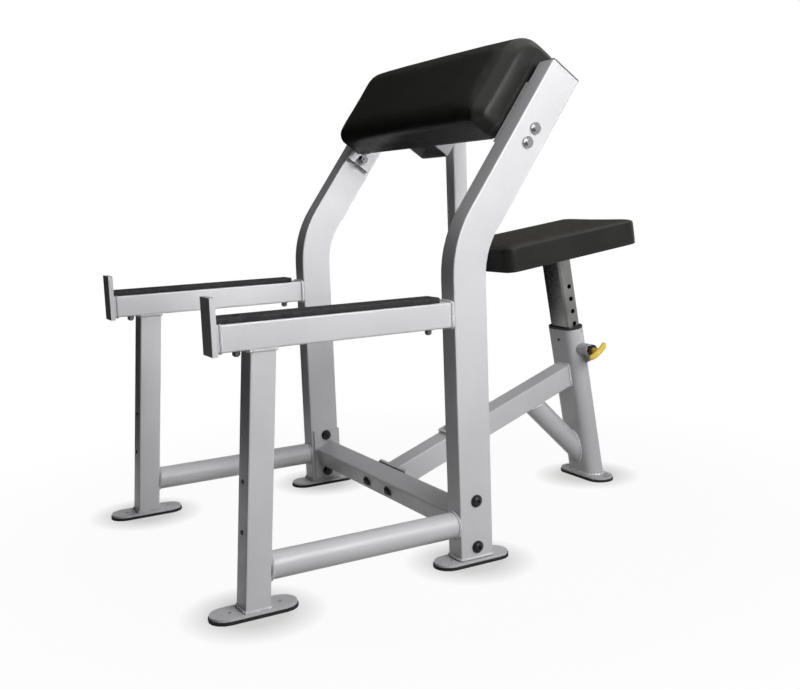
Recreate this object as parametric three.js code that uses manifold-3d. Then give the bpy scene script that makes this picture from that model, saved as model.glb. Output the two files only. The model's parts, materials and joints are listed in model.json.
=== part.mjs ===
// Arm-curl bench: a welded and bolted frame, a sloped arm pad and a seat that slides in the rear tube.
// Millimetres, +Z up. The user sits behind the pad and faces -Y; left and right are as seen from the front,
// looking along +Y, so right is +X. Lengths along Y are first laid out from the front face of the lips.

import * as THREE from 'three';
import { mergeVertices } from 'three/addons/utils/BufferGeometryUtils.js';
import Module from 'manifold-3d';

const wasm = await Module();
wasm.setup();

// Stock and clearances
const overallWidth = 763;
const stock = 50;
const stockWall = 3;
const stockCorner = 5;
const plate = 6;
const gap = 0.3;
const overrun = 20;

// Feet
const padThickness = 6;
const footPlate = 5;
const footLip = 2;
const sideFootLength = 166;
const sideFootWidth = 60;
const rearFootLength = 168;
const rearFootWidth = 64;
const footHole = 11;
const sideFootHoleSpacing = 97;
const rearFootHoleSpacing = 138;

// Front legs, rails and lips
const legFootY = 55;
const legLeanAngle = 4.63;
const legPlugHeight = 140.5;
const legPlugSpacing = 92;
const legPlugHole = 5;
const railTop = 531;
const lipThickness = 10;
const lipBelowRail = 6;
const lipAboveRail = 46;

// Rubber strips on the rails and their bolts
const stripThickness = 11;
const stripLength = 440;
const stripFromLip = 2;
const stripBoltFrontInset = 39;
const stripBoltRearInset = 13;
const stripSeat = 4;
const stripHeadDiameter = 15;
const stripHeadHeight = 5.5;
const stripShank = 8;
const flangeDiameter = 20;
const flangeThickness = 2;
const stripNut = 13;
const stripNutHeight = 7;

// Lower side tubes
const lowerTubeDiameter = 52;
const lowerTubeHeight = 81.5;

// Bent uprights
const uprightFront = 484.2;
const uprightDepth = 76;
const uprightStraight = 562;
const bendInnerRadius = 154;
const bendAngle = 35.64;
const inclineLength = 350.6;
const capThickness = 3;

// Lower crossmember, its end plates and the frame bolts
const climbAngle = 20.15;
const crossmemberY = 522.2;
const crossmemberHeight = 83.5;
const lowerPlateFromFront = 5.8;
const lowerPlateDepth = 70;
const lowerPlateBottom = 20;
const lowerPlateHeight = 124;
const frameBoltSpacing = 94.5;
const boltDiameter = 10;
const boltHole = 11;
const boltHeadDiameter = 20.5;
const boltHeadHeight = 5.5;
const washerDiameter = 25;
const washerThickness = 2.5;
const nutAcross = 17;
const nutHeight = 8;
const threadBeyond = 3;

// Spine, its plate and the brace
const spineSize = 54;
const spinePlateWidth = 128;
const spinePlateHeight = 54;
const spineBoltSpacing = 102;
const braceDiameter = 52;
const braceAngle = 44.4;
const braceTopY = 910.6;
const braceTopZ = 240;

// Arm pad bracket, crossbars and upper end plates, measured from the top front corner of the uprights
const bracketWidth = 114;
const bracketDepth = 48.4;
const bracketBottom = 170.6;
const bracketTop = 20;
const crossbarLow = 120;
const crossbarHeight = 60;
const crossbarDepth = 30;
const crossbarCorner = 4;
const upperPlateLow = 191.7;
const upperPlateHigh = 50;
const upperPlateFront = 1;
const upperPlateDepth = 67;
const upperBoltLow = 172;
const upperBoltHigh = 139;
const upperBoltDepth = 39;
const hexHead = 17;
const hexHeadHeight = 6;
const upperWasherDiameter = 24;

// Middle post
const postSize = 40;
const postCorner = 9;
const postY = 738;
const postFootLength = 123.6;
const postBoltSpacing = 85;
const postBoltReach = 20;

// Rear tube and its sleeve, measured along the tube from the floor
const tubeLeanAngle = 9.2;
const tubeFloorY = 1112.1;
const tubeWidth = 105;
const tubeDepth = 51;
const tubeTop = 397.7;
const sleeveLength = 100;
const sleeveRim = 5;
const sleeveClearance = 0.4;
const sleeveScrewBelow = 26;
const sleeveScrewHole = 5.6;

// Pull pin, measured along the rear tube and outwards from its middle
const pinHeight = 347.9;
const pinDiameter = 11;
const pinHole = 12;
const pinReach = 30.7;
const collarDiameter = 15;
const collarThickness = 3.5;
const stemDiameter = 8;
const barrelDiameter = 29;
const barrelBore = 16;
const barrelEnd = 88;
const barrelNutAcross = 24;
const barrelNutHeight = 10.5;
const handleMiddle = 120;
const handleBulge = 8;
const handleLength = 58;
const handleThickness = 15;
const handleAngle = 25.9;
const hubDiameter = 15;
const stemInHub = 10;
const springWire = 1.4;
const springDiameter = 12;
const springTurns = 6;
const guardThickness = 5;
const guardBehind = 12;
const guardReach = 100;
const guardDrop = 26;
const guardTip = 3;

// Seat post, its holes and the seat
const seatPostWidth = 77.4;
const seatPostDepth = 38.6;
const seatPostCorner = 11.4;
const seatPostBelowPin = 80;
const holePitch = 31.5;
const holesAbove = 5;
const holesBelow = 1;
const seatTiltAngle = 7.4;
const seatUnderside = 578.8;
const seatUndersideY = 1000;
const seatFront = 788;
const seatLength = 386;
const seatWidth = 277;
const seatCorner = 28;
const seatBoard = 12;
const seatCushionHeight = 54;
const seatPlateWidth = 140;
const seatPlateLength = 200;
const seatBoltInset = 20;
const seatBoltLength = 14;

// Arm pad
const armPadSideClearance = 12.5;
const armPadLow = 178;
const armPadHigh = 45;
const armPadFront = 65;
const armPadCrown = 3;
const armPadBack = 12;
const armPadBoard = 15;
const boardHigh = 6;
const boardCorner = 22;
const rollBack = 60;
const rollLip = 10;
const rollRadius = 56;
const boardInset = 4;
const screwHole = 6.6;
const armPadScrewFromBracket = 53;
const armPadScrewFromSide = 69;
const armPadScrewReach = 10;

// Counts and shares
const cornerSteps = 2;
const softCornerSteps = 6;
const endSteps = 8;
const roundSides = 24;
const boltSides = 10;
const bendSteps = 7;
const springSteps = 8;
const springSides = 5;
const domeShares = [[1, 0], [1, 0.4], [0.75, 0.88], [0, 1]];
const hexHeadShares = [[1, 0], [1, 0.6], [0.7, 0.94], [0, 1]];
const handleTaperShares = [[-1, 0.35], [-0.93, 0.72], [-0.8, 0.92], [-0.5, 1], [0, 1], [0.5, 1], [0.8, 0.92],
  [0.93, 0.72], [1, 0.35]];
const handleFlatShare = 0.9;

// Side of a cushion from its board upwards: how far it is drawn in and how high, as shares of its roundness
// and of its height. The crown rows are shares of the way to the middle and of the crown.
const sideShares = [[0.28, 0], [0.1, 0.08], [0, 0.24], [0, 0.46], [0.08, 0.64], [0.26, 0.78], [0.52, 0.87],
  [1, 0.93]];
const crownShares = [[0.2, 0.4], [0.45, 0.76], [0.75, 0.96], [0.95, 1]];
const seatRoundness = 24;
const armPadRoundness = 26;

// Ends of the arm pad, as shares of its roundness along the bench's width and inwards, and its crown
const padEndShares = [[0, 1], [0.07, 0.63], [0.24, 0.35], [0.5, 0.13], [0.76, 0.03], [1, 0]];
const padCrownShares = [[0.12, 0.4], [0.4, 0.85], [1, 1]];

// Derived places
const halfTrack = (overallWidth - stock) / 2;
const outerFace = overallWidth / 2;
const innerFace = outerFace - stock;
const footTop = padThickness + footPlate;
const railHeight = railTop - stock / 2;
const uprightBack = uprightFront + uprightDepth;
const uprightMiddle = uprightFront + uprightDepth / 2;
const bendStart = footTop + uprightStraight;
const bendCentreY = uprightBack + bendInnerRadius;
const bendOuterRadius = bendInnerRadius + uprightDepth;
const plateFace = innerFace - plate;
const armPadWidth = 2 * (innerFace - armPadSideClearance);
const turn = THREE.MathUtils.degToRad;
const sides = { left: -1, right: 1 };
const rows = ['front', 'rear'];
const levels = ['low', 'high'];

const top = {
  y: bendCentreY - bendOuterRadius * Math.cos(turn(bendAngle)) + inclineLength * Math.sin(turn(bendAngle)),
  z: bendStart + bendOuterRadius * Math.sin(turn(bendAngle)) + inclineLength * Math.cos(turn(bendAngle)),
};

// Materials

function finish(color, roughness, metalness) {
  return new THREE.MeshStandardMaterial({ color, roughness, metalness });
}

const paint = () => finish(0xa8a8ad, 0.35, 0.6);
const rubber = () => finish(0x1b1b1d, 0.85, 0);
const vinyl = () => finish(0x2a2a28, 0.5, 0);
const chrome = () => finish(0xd6d8db, 0.12, 1);
const blackSteel = () => finish(0x131315, 0.35, 0.7);
const blackPlastic = () => finish(0x161617, 0.45, 0);
const yellowPlastic = () => finish(0xd8b43a, 0.4, 0);
const zinc = () => finish(0xa7a9ac, 0.3, 0.9);

// Outlines

function roundedRectangle(sizeU, sizeV, radius, steps) {
  const points = [];
  for (let quarter = 0; quarter < 4; quarter++) {
    const centreU = (sizeU / 2 - radius) * (quarter % 3 === 0 ? 1 : -1);
    const centreV = (sizeV / 2 - radius) * (quarter < 2 ? 1 : -1);
    for (let step = 0; step <= steps; step++) {
      const angle = (quarter + step / steps) * Math.PI / 2;
      points.push(new THREE.Vector2(centreU + radius * Math.cos(angle), centreV + radius * Math.sin(angle)));
    }
  }
  return points;
}

// Rectangle between two pairs of places, each corner with its own radius
function softBlock([low, high], [back, front], radii) {
  return radii.flatMap((radius, quarter) => {
    const centreU = quarter % 3 === 0 ? high - radius : low + radius;
    const centreV = quarter < 2 ? front - radius : back + radius;
    return Array.from({ length: softCornerSteps + 1 }, (_, step) => {
      const angle = (quarter + step / softCornerSteps) * Math.PI / 2;
      return new THREE.Vector2(centreU + radius * Math.cos(angle), centreV + radius * Math.sin(angle));
    });
  });
}

function stadium(length, width) {
  const points = [];
  for (const end of [1, -1]) {
    for (let step = 0; step <= endSteps; step++) {
      const angle = (step / endSteps - end / 2) * Math.PI;
      const centre = end * (length - width) / 2;
      points.push(new THREE.Vector2(centre + width / 2 * Math.cos(angle), width / 2 * Math.sin(angle)));
    }
  }
  return points;
}

function circle(diameter, count, centreU = 0, centreV = 0) {
  return Array.from({ length: count }, (_, step) => {
    const angle = step / count * 2 * Math.PI;
    const spoke = new THREE.Vector2(Math.cos(angle), Math.sin(angle));
    return spoke.multiplyScalar(diameter / 2).add(new THREE.Vector2(centreU, centreV));
  });
}

function squareStock(height, width = height) {
  return roundedRectangle(height, width, stockCorner, cornerSteps);
}

function stockBore(height, width = height) {
  const wall = 2 * stockWall;
  return roundedRectangle(height - wall, width - wall, stockCorner - stockWall, cornerSteps);
}

function hexagon(across) {
  return circle(across / Math.cos(Math.PI / 6), 6);
}

// Solids

// Bare closed solid: shared corners, no empty triangles and faces that point out
function closed(geometry) {
  const rough = geometry.clone();
  rough.deleteAttribute('normal');
  rough.deleteAttribute('uv');
  const merged = mergeVertices(rough);
  const place = merged.attributes.position;
  const [a, b, c] = [new THREE.Vector3(), new THREE.Vector3(), new THREE.Vector3()];
  const faces = [];
  let volume = 0;
  for (let face = 0; face < merged.index.count; face += 3) {
    const corners = [0, 1, 2].map((corner) => merged.index.getX(face + corner));
    if (new Set(corners).size === 3) {
      faces.push(corners);
      a.fromBufferAttribute(place, corners[0]);
      b.fromBufferAttribute(place, corners[1]);
      c.fromBufferAttribute(place, corners[2]);
      volume += a.dot(b.cross(c));
    }
  }
  merged.setIndex(faces.flatMap((corners) => (volume < 0 ? corners.reverse() : corners)));
  return merged;
}

const alongAxis = {
  x: (u, v, w) => [w, u, v],
  y: (u, v, w) => [v, w, u],
  z: (u, v, w) => [u, v, w],
};

// Straight bar along an axis. The outline's two directions are the next axes in the order X, Y, Z, X, Y.
// An end is a place on the axis, or a function that gives that place for each point of the outline.
function bar(axis, outline, holes, from, to) {
  const shape = new THREE.Shape(outline);
  shape.holes = holes.map((hole) => new THREE.Path(hole));
  const geometry = new THREE.ExtrudeGeometry(shape, { depth: 1, bevelEnabled: false });
  const place = geometry.attributes.position;
  for (let i = 0; i < place.count; i++) {
    const [u, v] = [place.getX(i), place.getY(i)];
    const end = place.getZ(i) > 0 ? to : from;
    const w = typeof end === 'function' ? end(u, v) : end;
    place.setXYZ(i, ...alongAxis[axis](u, v, w));
  }
  return closed(geometry);
}

function rod(axis, diameter, from, to, centre = [0, 0]) {
  return bar(axis, circle(diameter, boltSides, ...centre), [], from, to);
}

function block(size, centre) {
  return closed(new THREE.BoxGeometry(...size)).translate(...centre);
}

// Solid turned about Z from a profile of radii and heights
function turned(profile, count = boltSides) {
  const points = profile.map(([radius, height]) => new THREE.Vector2(radius, height));
  const geometry = new THREE.LatheGeometry(points, count);
  const place = geometry.attributes.position;
  for (let i = 0; i < place.count; i++) {
    place.setXYZ(i, place.getZ(i), place.getX(i), place.getY(i));
  }
  return closed(geometry);
}

// Solid through rings of equally many points, its two ends filled from their middles
function loft(rings) {
  const count = rings[0].length;
  const points = rings.flat();
  const index = [];
  for (let ring = 0; ring + 1 < rings.length; ring++) {
    for (let i = 0; i < count; i++) {
      const [a, b] = [ring * count + i, ring * count + (i + 1) % count];
      index.push(a, b, b + count, a, b + count, a + count);
    }
  }
  for (const [ring, flip] of [[0, true], [rings.length - 1, false]]) {
    const middle = points.length;
    const sum = rings[ring].reduce((total, point) => total.add(point), new THREE.Vector3());
    points.push(sum.divideScalar(count));
    for (let i = 0; i < count; i++) {
      const [a, b] = [ring * count + i, ring * count + (i + 1) % count];
      index.push(middle, ...(flip ? [b, a] : [a, b]));
    }
  }
  const geometry = new THREE.BufferGeometry().setFromPoints(points);
  geometry.setIndex(index);
  return closed(geometry);
}

function toManifold(geometry) {
  const vertProperties = new Float32Array(geometry.attributes.position.array);
  const triVerts = new Uint32Array(geometry.index.array);
  return new wasm.Manifold(new wasm.Mesh({ numProp: 3, vertProperties, triVerts }));
}

function toGeometry(manifold) {
  const mesh = manifold.getMesh();
  const geometry = new THREE.BufferGeometry();
  geometry.setAttribute('position', new THREE.BufferAttribute(mesh.vertProperties, 3));
  geometry.setIndex(new THREE.BufferAttribute(mesh.triVerts, 1));
  return geometry;
}

function cut(geometry, cutters) {
  const bodies = [geometry, ...cutters].map(toManifold);
  return toGeometry(bodies.reduce((body, cutter) => body.subtract(cutter)));
}

function join(first, second) {
  return toGeometry(toManifold(first).add(toManifold(second)));
}

// Moves a solid that was made about Z so that Z points along a direction
function placed(geometry, position, direction) {
  const upright = new THREE.Vector3(0, 0, 1);
  const spin = new THREE.Quaternion().setFromUnitVectors(upright, new THREE.Vector3(...direction));
  return geometry.clone().applyQuaternion(spin).translate(...position);
}

// Frames and the planes where pieces meet

function frameAt(y, z, angle) {
  const frame = new THREE.Group();
  frame.position.set(0, y, z);
  frame.rotation.x = turn(angle);
  frame.updateMatrix();
  return frame;
}

function planeIn(frame, normal, offset) {
  return new THREE.Plane(new THREE.Vector3(...normal), -offset).applyMatrix4(frame.matrix);
}

// End of a bar that lies along an axis of a frame and is cut on a plane of the bench
function endOn(plane, frame, axis) {
  const local = plane.clone().applyMatrix4(frame.matrix.clone().invert());
  const along = new THREE.Vector3(...alongAxis[axis](0, 0, 1));
  return (u, v) => {
    const start = new THREE.Vector3(...alongAxis[axis](u, v, 0));
    return -local.distanceToPoint(start) / local.normal.dot(along);
  };
}

const bench = new THREE.Group();
const legs = frameAt(legFootY, footTop, -legLeanAngle);
const incline = frameAt(top.y, top.z, 90 - bendAngle);
const climb = frameAt(crossmemberY, crossmemberHeight, climbAngle);
const riser = frameAt(tubeFloorY, 0, tubeLeanAngle);
const strut = frameAt(braceTopY, braceTopZ, 90 - braceAngle);
bench.add(legs, incline, climb, riser, strut);

function add(parent, name, geometry, material, x = 0) {
  const mesh = new THREE.Mesh(geometry, material);
  mesh.name = name;
  mesh.position.x = x;
  parent.add(mesh);
  return mesh;
}

// Fasteners, along Z with the clamped face at zero and the head above it.
// Washers and nut sit tight on the bolt.

function fastener(parts) {
  const { shares, headDiameter, headHeight, shank, seat } = parts;
  const { underside, collar, collarThickness, nut, height } = parts;
  const head = shares.map(([radius, rise]) => [radius * headDiameter / 2, seat + rise * headHeight]);
  const nutTop = underside - collarThickness;
  const end = nutTop - height - threadBeyond;
  const upper = seat > gap ? [[collar / 2, gap], [collar / 2, seat]] : [];
  const profile = [
    [0, end], [shank / 2, end], [shank / 2, nutTop], [collar / 2, nutTop], [collar / 2, underside],
    [shank / 2, underside], [shank / 2, gap], ...upper, ...head,
  ];
  return join(turned(profile), bar('z', hexagon(nut), [], nutTop - height, nutTop + collarThickness / 2));
}

// Bolt with a washer under its head, and a washer and nut beyond the clamped length
function throughBolt(shares, headDiameter, headHeight, washerSize, grip) {
  return fastener({
    shares, headDiameter, headHeight, shank: boltDiameter,
    seat: gap + washerThickness, underside: -grip - gap,
    collar: washerSize, collarThickness: washerThickness, nut: nutAcross, height: nutHeight,
  });
}

// Bolt with a collar under its head, screwed into the last piece that it goes through
function shortBolt(reach, collar) {
  const shank = [[0, -reach], [boltDiameter / 2, -reach], [boltDiameter / 2, gap]];
  const seat = gap + washerThickness;
  const washer = [[collar / 2, gap], [collar / 2, seat]];
  const radius = boltHeadDiameter / 2;
  const head = domeShares.map(([share, rise]) => [share * radius, seat + rise * boltHeadHeight]);
  return turned([...shank, ...washer, ...head]);
}

// Feet

function foot(name, length, width, holeSpacing, along, x, y) {
  const lip = 2 * footLip;
  const holes = [-1, 1].map((side) => circle(footHole, boltSides, side * holeSpacing / 2));
  const pad = bar('z', stadium(length + lip, width + lip), [], 0, padThickness);
  const steel = bar('z', stadium(length, width), holes, padThickness, footTop);
  for (const [kind, geometry, material] of [['pad', pad, rubber()], ['plate', steel, paint()]]) {
    const mesh = add(bench, `foot_${kind}_${name}`, geometry, material, x);
    mesh.position.y = y;
    mesh.rotation.z = along === 'y' ? Math.PI / 2 : 0;
  }
}

function feet() {
  for (const [side, sign] of Object.entries(sides)) {
    for (const [place, y] of [['front', legFootY], ['upright', uprightMiddle]]) {
      foot(`${place}_${side}`, sideFootLength, sideFootWidth, sideFootHoleSpacing, 'y', sign * halfTrack, y);
    }
  }
  const rearY = tubeFloorY - footTop * Math.tan(turn(tubeLeanAngle));
  foot('rear', rearFootLength, rearFootWidth, rearFootHoleSpacing, 'x', 0, rearY);
}

// Front legs, rails, lips and lower side tubes

function frontLegs() {
  const floor = planeIn(bench, [0, 0, 1], footTop + gap);
  const railBottom = planeIn(bench, [0, 0, 1], railTop - stock - gap);
  const plugY = -stock / 2;
  const plugHoles = [legPlugHeight, legPlugHeight + legPlugSpacing].map((height) => (
    rod('y', legPlugHole, plugY - overrun, plugY + overrun, [height, 0])
  ));
  const ends = [endOn(floor, legs, 'z'), endOn(railBottom, legs, 'z')];
  const tube = bar('z', squareStock(stock), [stockBore(stock)], ...ends);
  for (const [side, sign] of Object.entries(sides)) {
    add(legs, `front_leg_${side}`, cut(tube, plugHoles), paint(), sign * halfTrack);
  }
}

const stripStart = lipThickness + stripFromLip;
const stripBolts = [stripStart + stripBoltFrontInset, stripStart + stripLength - stripBoltRearInset];

function rails() {
  const [below, above] = [railTop - stock - overrun, railTop + overrun];
  const holes = stripBolts.map((y) => rod('z', boltHole, below, above, [0, y]));
  const tube = bar('y', squareStock(stock), [stockBore(stock)], lipThickness + gap, uprightFront);
  const rail = cut(tube.translate(0, 0, railHeight), holes);
  const lipBottom = railTop - stock - lipBelowRail;
  const lip = new THREE.BoxGeometry(stock, lipThickness, stock + lipBelowRail + lipAboveRail);
  lip.translate(0, lipThickness / 2, (lipBottom + railTop + lipAboveRail) / 2);
  const stripShape = roundedRectangle(stripThickness, stock, stockWall, cornerSteps);
  const block = bar('y', stripShape, [], stripStart, stripStart + stripLength);
  block.translate(0, 0, railTop + stripThickness / 2);
  const seats = stripBolts.flatMap((y) => [
    rod('z', boltHole, railTop - overrun, railTop + overrun, [0, y]),
    rod('z', stripHeadDiameter + stripSeat, railTop + stripSeat, railTop + stripThickness + overrun, [0, y]),
  ]);
  const strip = cut(block, seats);
  for (const [side, sign] of Object.entries(sides)) {
    add(bench, `rail_${side}`, rail, paint(), sign * halfTrack);
    add(bench, `rail_lip_${side}`, closed(lip), paint(), sign * halfTrack);
    add(bench, `bar_strip_${side}`, strip, rubber(), sign * halfTrack);
  }
}

// The head sits in the strip's recess, with a flanged nut under the rail
function stripFasteners() {
  const one = fastener({
    shares: domeShares, headDiameter: stripHeadDiameter, headHeight: stripHeadHeight,
    shank: stripShank, seat: gap, underside: -stock - stripSeat - gap,
    collar: flangeDiameter, collarThickness: flangeThickness, nut: stripNut,
    height: stripNutHeight,
  });
  for (const [side, sign] of Object.entries(sides)) {
    stripBolts.forEach((y, place) => {
      const mesh = add(bench, `strip_bolt_${side}_${rows[place]}`, one, zinc(), sign * halfTrack);
      mesh.position.y = y;
      mesh.position.z = railTop + stripSeat;
    });
  }
}

function lowerTubes() {
  const legBack = planeIn(legs, [0, 1, 0], stock / 2 + gap);
  const low = frameAt(0, lowerTubeHeight, 0);
  const wall = 2 * stockWall;
  const outline = circle(lowerTubeDiameter, roundSides);
  const bore = circle(lowerTubeDiameter - wall, roundSides);
  const tube = bar('y', outline, [bore], endOn(legBack, low, 'y'), uprightFront);
  for (const [side, sign] of Object.entries(sides)) {
    add(bench, `lower_tube_${side}`, tube, paint(), sign * halfTrack).position.z = lowerTubeHeight;
  }
}

// Bent uprights

// Solid along the upright's bend, from below its foot end to an amount above the sloped end
function bentTube(width, depth, corner, below, above) {
  const outline = roundedRectangle(width, depth, corner, cornerSteps);
  const middleRadius = bendInnerRadius + uprightDepth / 2;
  const stations = [{ y: uprightMiddle, z: footTop - below, angle: 0 }];
  for (let step = 0; step <= bendSteps; step++) {
    const angle = turn(bendAngle) * step / bendSteps;
    const y = bendCentreY - middleRadius * Math.cos(angle);
    stations.push({ y, z: bendStart + middleRadius * Math.sin(angle), angle });
  }
  const last = stations.at(-1);
  const run = inclineLength + above;
  const y = last.y + run * Math.sin(last.angle);
  stations.push({ y, z: last.z + run * Math.cos(last.angle), angle: last.angle });
  return loft(stations.map(({ y: ringY, z: ringZ, angle }) => outline.map((point) => (
    new THREE.Vector3(point.x, ringY + point.y * Math.cos(angle), ringZ - point.y * Math.sin(angle))
  ))));
}

const upperBolts = [upperBoltLow, upperBoltHigh];
const frameBolts = [-1, 1].map((side) => crossmemberHeight + side * frameBoltSpacing / 2);

function uprights() {
  const outer = bentTube(stock, uprightDepth, stockCorner, 0, 0);
  const wall = 2 * stockWall;
  const innerCorner = stockCorner - stockWall;
  const inner = bentTube(stock - wall, uprightDepth - wall, innerCorner, overrun, -capThickness);
  const lowHoles = frameBolts.map((z) => rod('x', boltHole, -stock, stock, [crossmemberY, z]));
  const highHoles = upperBolts.map((down) => (
    rod('x', boltHole, -stock, stock, [-down, -upperBoltDepth]).applyMatrix4(incline.matrix)
  ));
  const tube = cut(outer, [inner, ...lowHoles, ...highHoles]);
  for (const [side, sign] of Object.entries(sides)) {
    add(bench, `upright_${side}`, tube, paint(), sign * halfTrack);
  }
}

// Lower crossmember, its end plates and the frame bolts

const spineBolts = [-spineBoltSpacing / 2, spineBoltSpacing / 2];

function lowerCrossmember() {
  const holes = spineBolts.map((x) => rod('y', boltHole, -stock, stock, [0, x]));
  const tube = bar('x', squareStock(stock), [stockBore(stock)], gap - plateFace, plateFace - gap);
  add(climb, 'lower_crossmember', cut(tube, holes), paint());
  const front = uprightFront + lowerPlateFromFront;
  const block = new THREE.BoxGeometry(plate, lowerPlateDepth, lowerPlateHeight);
  block.translate(0, front + lowerPlateDepth / 2, lowerPlateBottom + lowerPlateHeight / 2);
  const plateHoles = frameBolts.map((z) => rod('x', boltHole, -overrun, overrun, [crossmemberY, z]));
  const endPlate = cut(closed(block), plateHoles);
  for (const [side, sign] of Object.entries(sides)) {
    add(bench, `lower_end_plate_${side}`, endPlate, paint(), sign * (innerFace - plate / 2));
  }
}

function frameFasteners() {
  const one = throughBolt(domeShares, boltHeadDiameter, boltHeadHeight, washerDiameter, stock + plate);
  for (const [side, sign] of Object.entries(sides)) {
    frameBolts.forEach((z, place) => {
      const geometry = placed(one, [0, 0, 0], [sign, 0, 0]);
      const name = `frame_bolt_${side}_${levels[place]}`;
      const mesh = add(bench, name, geometry, blackSteel(), sign * outerFace);
      mesh.position.y = crossmemberY;
      mesh.position.z = z;
    });
  }
}

// Spine, its plate and bolts, and the brace below it

function spine() {
  const back = stock / 2 + gap + plate;
  const rearFace = planeIn(riser, [0, 1, 0], -tubeDepth / 2 - gap);
  const holes = postBoltPlaces.map((y) => rod('z', boltHole, 0, stock, [0, postFootMiddle() + y]));
  const ends = [back - plate / 2, endOn(rearFace, climb, 'y')];
  const tube = bar('y', squareStock(spineSize), [stockBore(spineSize)], ...ends);
  const plateHoles = spineBolts.map((x) => circle(boltHole, boltSides, 0, x));
  const plateShape = roundedRectangle(spinePlateHeight, spinePlateWidth, stockCorner, cornerSteps);
  const endPlate = bar('y', plateShape, plateHoles, back - plate, back);
  add(climb, 'spine', join(cut(tube, holes), endPlate), paint());
  const one = shortBolt(stock + gap + plate + threadBeyond, washerDiameter);
  spineBolts.forEach((x, place) => {
    const geometry = placed(one, [0, 0, 0], [0, -1, 0]);
    const mesh = add(climb, `spine_bolt_${Object.keys(sides)[place]}`, geometry, blackSteel(), x);
    mesh.position.y = -stock / 2;
  });
}

function brace() {
  const spineBottom = planeIn(climb, [0, 0, 1], -spineSize / 2 - gap);
  const rearFace = planeIn(riser, [0, 1, 0], -tubeDepth / 2 - gap);
  const outline = circle(braceDiameter, roundSides);
  const bore = circle(braceDiameter - 2 * stockWall, roundSides);
  const ends = [spineBottom, rearFace].map((plane) => endOn(plane, strut, 'z'));
  add(strut, 'brace', bar('z', outline, [bore], ...ends), paint());
}

// Middle post on the spine

const postBoltPlaces = [-postBoltSpacing / 2, postBoltSpacing / 2];

// Place along the spine where the post's axis meets the top of its foot
function postFootMiddle() {
  const height = spineSize / 2 + gap + plate;
  return (postY - crossmemberY + height * Math.sin(turn(climbAngle))) / Math.cos(turn(climbAngle));
}

function middlePost() {
  const footZ = spineSize / 2 + gap;
  const footMiddle = planeIn(climb, [0, 0, 1], footZ + plate / 2);
  const bracketBack = planeIn(incline, [0, 0, 1], -armPadBack - gap - bracketDepth - gap);
  const here = frameAt(postY, 0, 0);
  const outline = roundedRectangle(postSize, postSize, postCorner, cornerSteps);
  const inside = postSize - 2 * stockWall;
  const bore = roundedRectangle(inside, inside, postCorner - stockWall, cornerSteps);
  const tube = bar('z', outline, [bore], endOn(footMiddle, here, 'z'), endOn(bracketBack, here, 'z'));
  const holes = postBoltPlaces.map((y) => circle(boltHole, boltSides, 0, y));
  const shape = roundedRectangle(spineSize, postFootLength, stockCorner, cornerSteps);
  const base = bar('z', shape, holes, footZ, footZ + plate).translate(0, postFootMiddle(), 0);
  base.applyMatrix4(climb.matrix).translate(0, -postY, 0);
  add(bench, 'middle_post', join(tube, base), paint()).position.y = postY;
  const one = shortBolt(postBoltReach, boltHeadDiameter);
  postBoltPlaces.forEach((y, place) => {
    const mesh = add(climb, `middle_post_bolt_${rows[place]}`, one, blackSteel());
    mesh.position.y = postFootMiddle() + y;
    mesh.position.z = footZ + plate;
  });
}

// Arm pad bracket, crossbars, upper end plates and their bolts.
// In this frame Y runs up the slope and Z out of it.

const innerScrew = bracketWidth / 2 + armPadScrewFromBracket;
const outerScrew = armPadWidth / 2 - armPadScrewFromSide;
const screwPlaces = [-outerScrew, -innerScrew, innerScrew, outerScrew];
const crossbarMiddle = crossbarHeight / 2 - crossbarLow;
const bracketFront = -armPadBack - gap;

function padFrame() {
  const outline = squareStock(bracketDepth, bracketWidth);
  const bracket = bar('y', outline, [stockBore(bracketDepth, bracketWidth)], -bracketBottom, -bracketTop);
  add(incline, 'pad_bracket', bracket.translate(0, 0, bracketFront - bracketDepth / 2), paint());
  const crossShape = roundedRectangle(crossbarHeight, crossbarDepth, crossbarCorner, cornerSteps);
  const wall = 2 * stockWall;
  const [boreHeight, boreDepth] = [crossbarHeight - wall, crossbarDepth - wall];
  const crossBore = roundedRectangle(boreHeight, boreDepth, crossbarCorner - stockWall, cornerSteps);
  const [from, to] = [bracketWidth / 2 + gap, plateFace - gap + plate / 2];
  const length = upperPlateLow - upperPlateHigh;
  for (const [side, sign] of Object.entries(sides)) {
    const [start, end] = sign > 0 ? [from, to] : [-to, -from];
    const tube = bar('x', crossShape, [crossBore], start, end);
    tube.translate(0, crossbarMiddle, bracketFront - crossbarDepth / 2);
    const block = new THREE.BoxGeometry(plate, length, upperPlateDepth);
    const plateX = sign * (innerFace - gap - plate / 2);
    block.translate(plateX, -upperPlateHigh - length / 2, -upperPlateFront - upperPlateDepth / 2);
    const screwHoles = screwPlaces.map((x) => rod('z', screwHole, -stock - overrun, 0, [x, crossbarMiddle]));
    const [left, right] = [Math.min(plateX, 0) - overrun, Math.max(plateX, 0) + overrun];
    const plateHoles = upperBolts.map((down) => rod('x', boltHole, left, right, [-down, -upperBoltDepth]));
    const endPlate = cut(closed(block), plateHoles);
    add(incline, `upper_crossbar_${side}`, join(cut(tube, screwHoles), endPlate), paint());
  }
}

function padFrameFasteners() {
  const grip = stock + plate + 2 * gap;
  const one = throughBolt(hexHeadShares, hexHead, hexHeadHeight, upperWasherDiameter, grip);
  for (const [side, sign] of Object.entries(sides)) {
    upperBolts.forEach((down, place) => {
      const geometry = placed(one, [0, 0, 0], [sign, 0, 0]);
      const name = `pad_frame_bolt_${side}_${levels[place]}`;
      const mesh = add(incline, name, geometry, chrome(), sign * (outerFace + gap));
      mesh.position.y = -down;
      mesh.position.z = -upperBoltDepth;
    });
  }
}

// Rear tube with its sleeve

const sleeveScrewHeight = tubeTop - sleeveScrewBelow;

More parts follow.
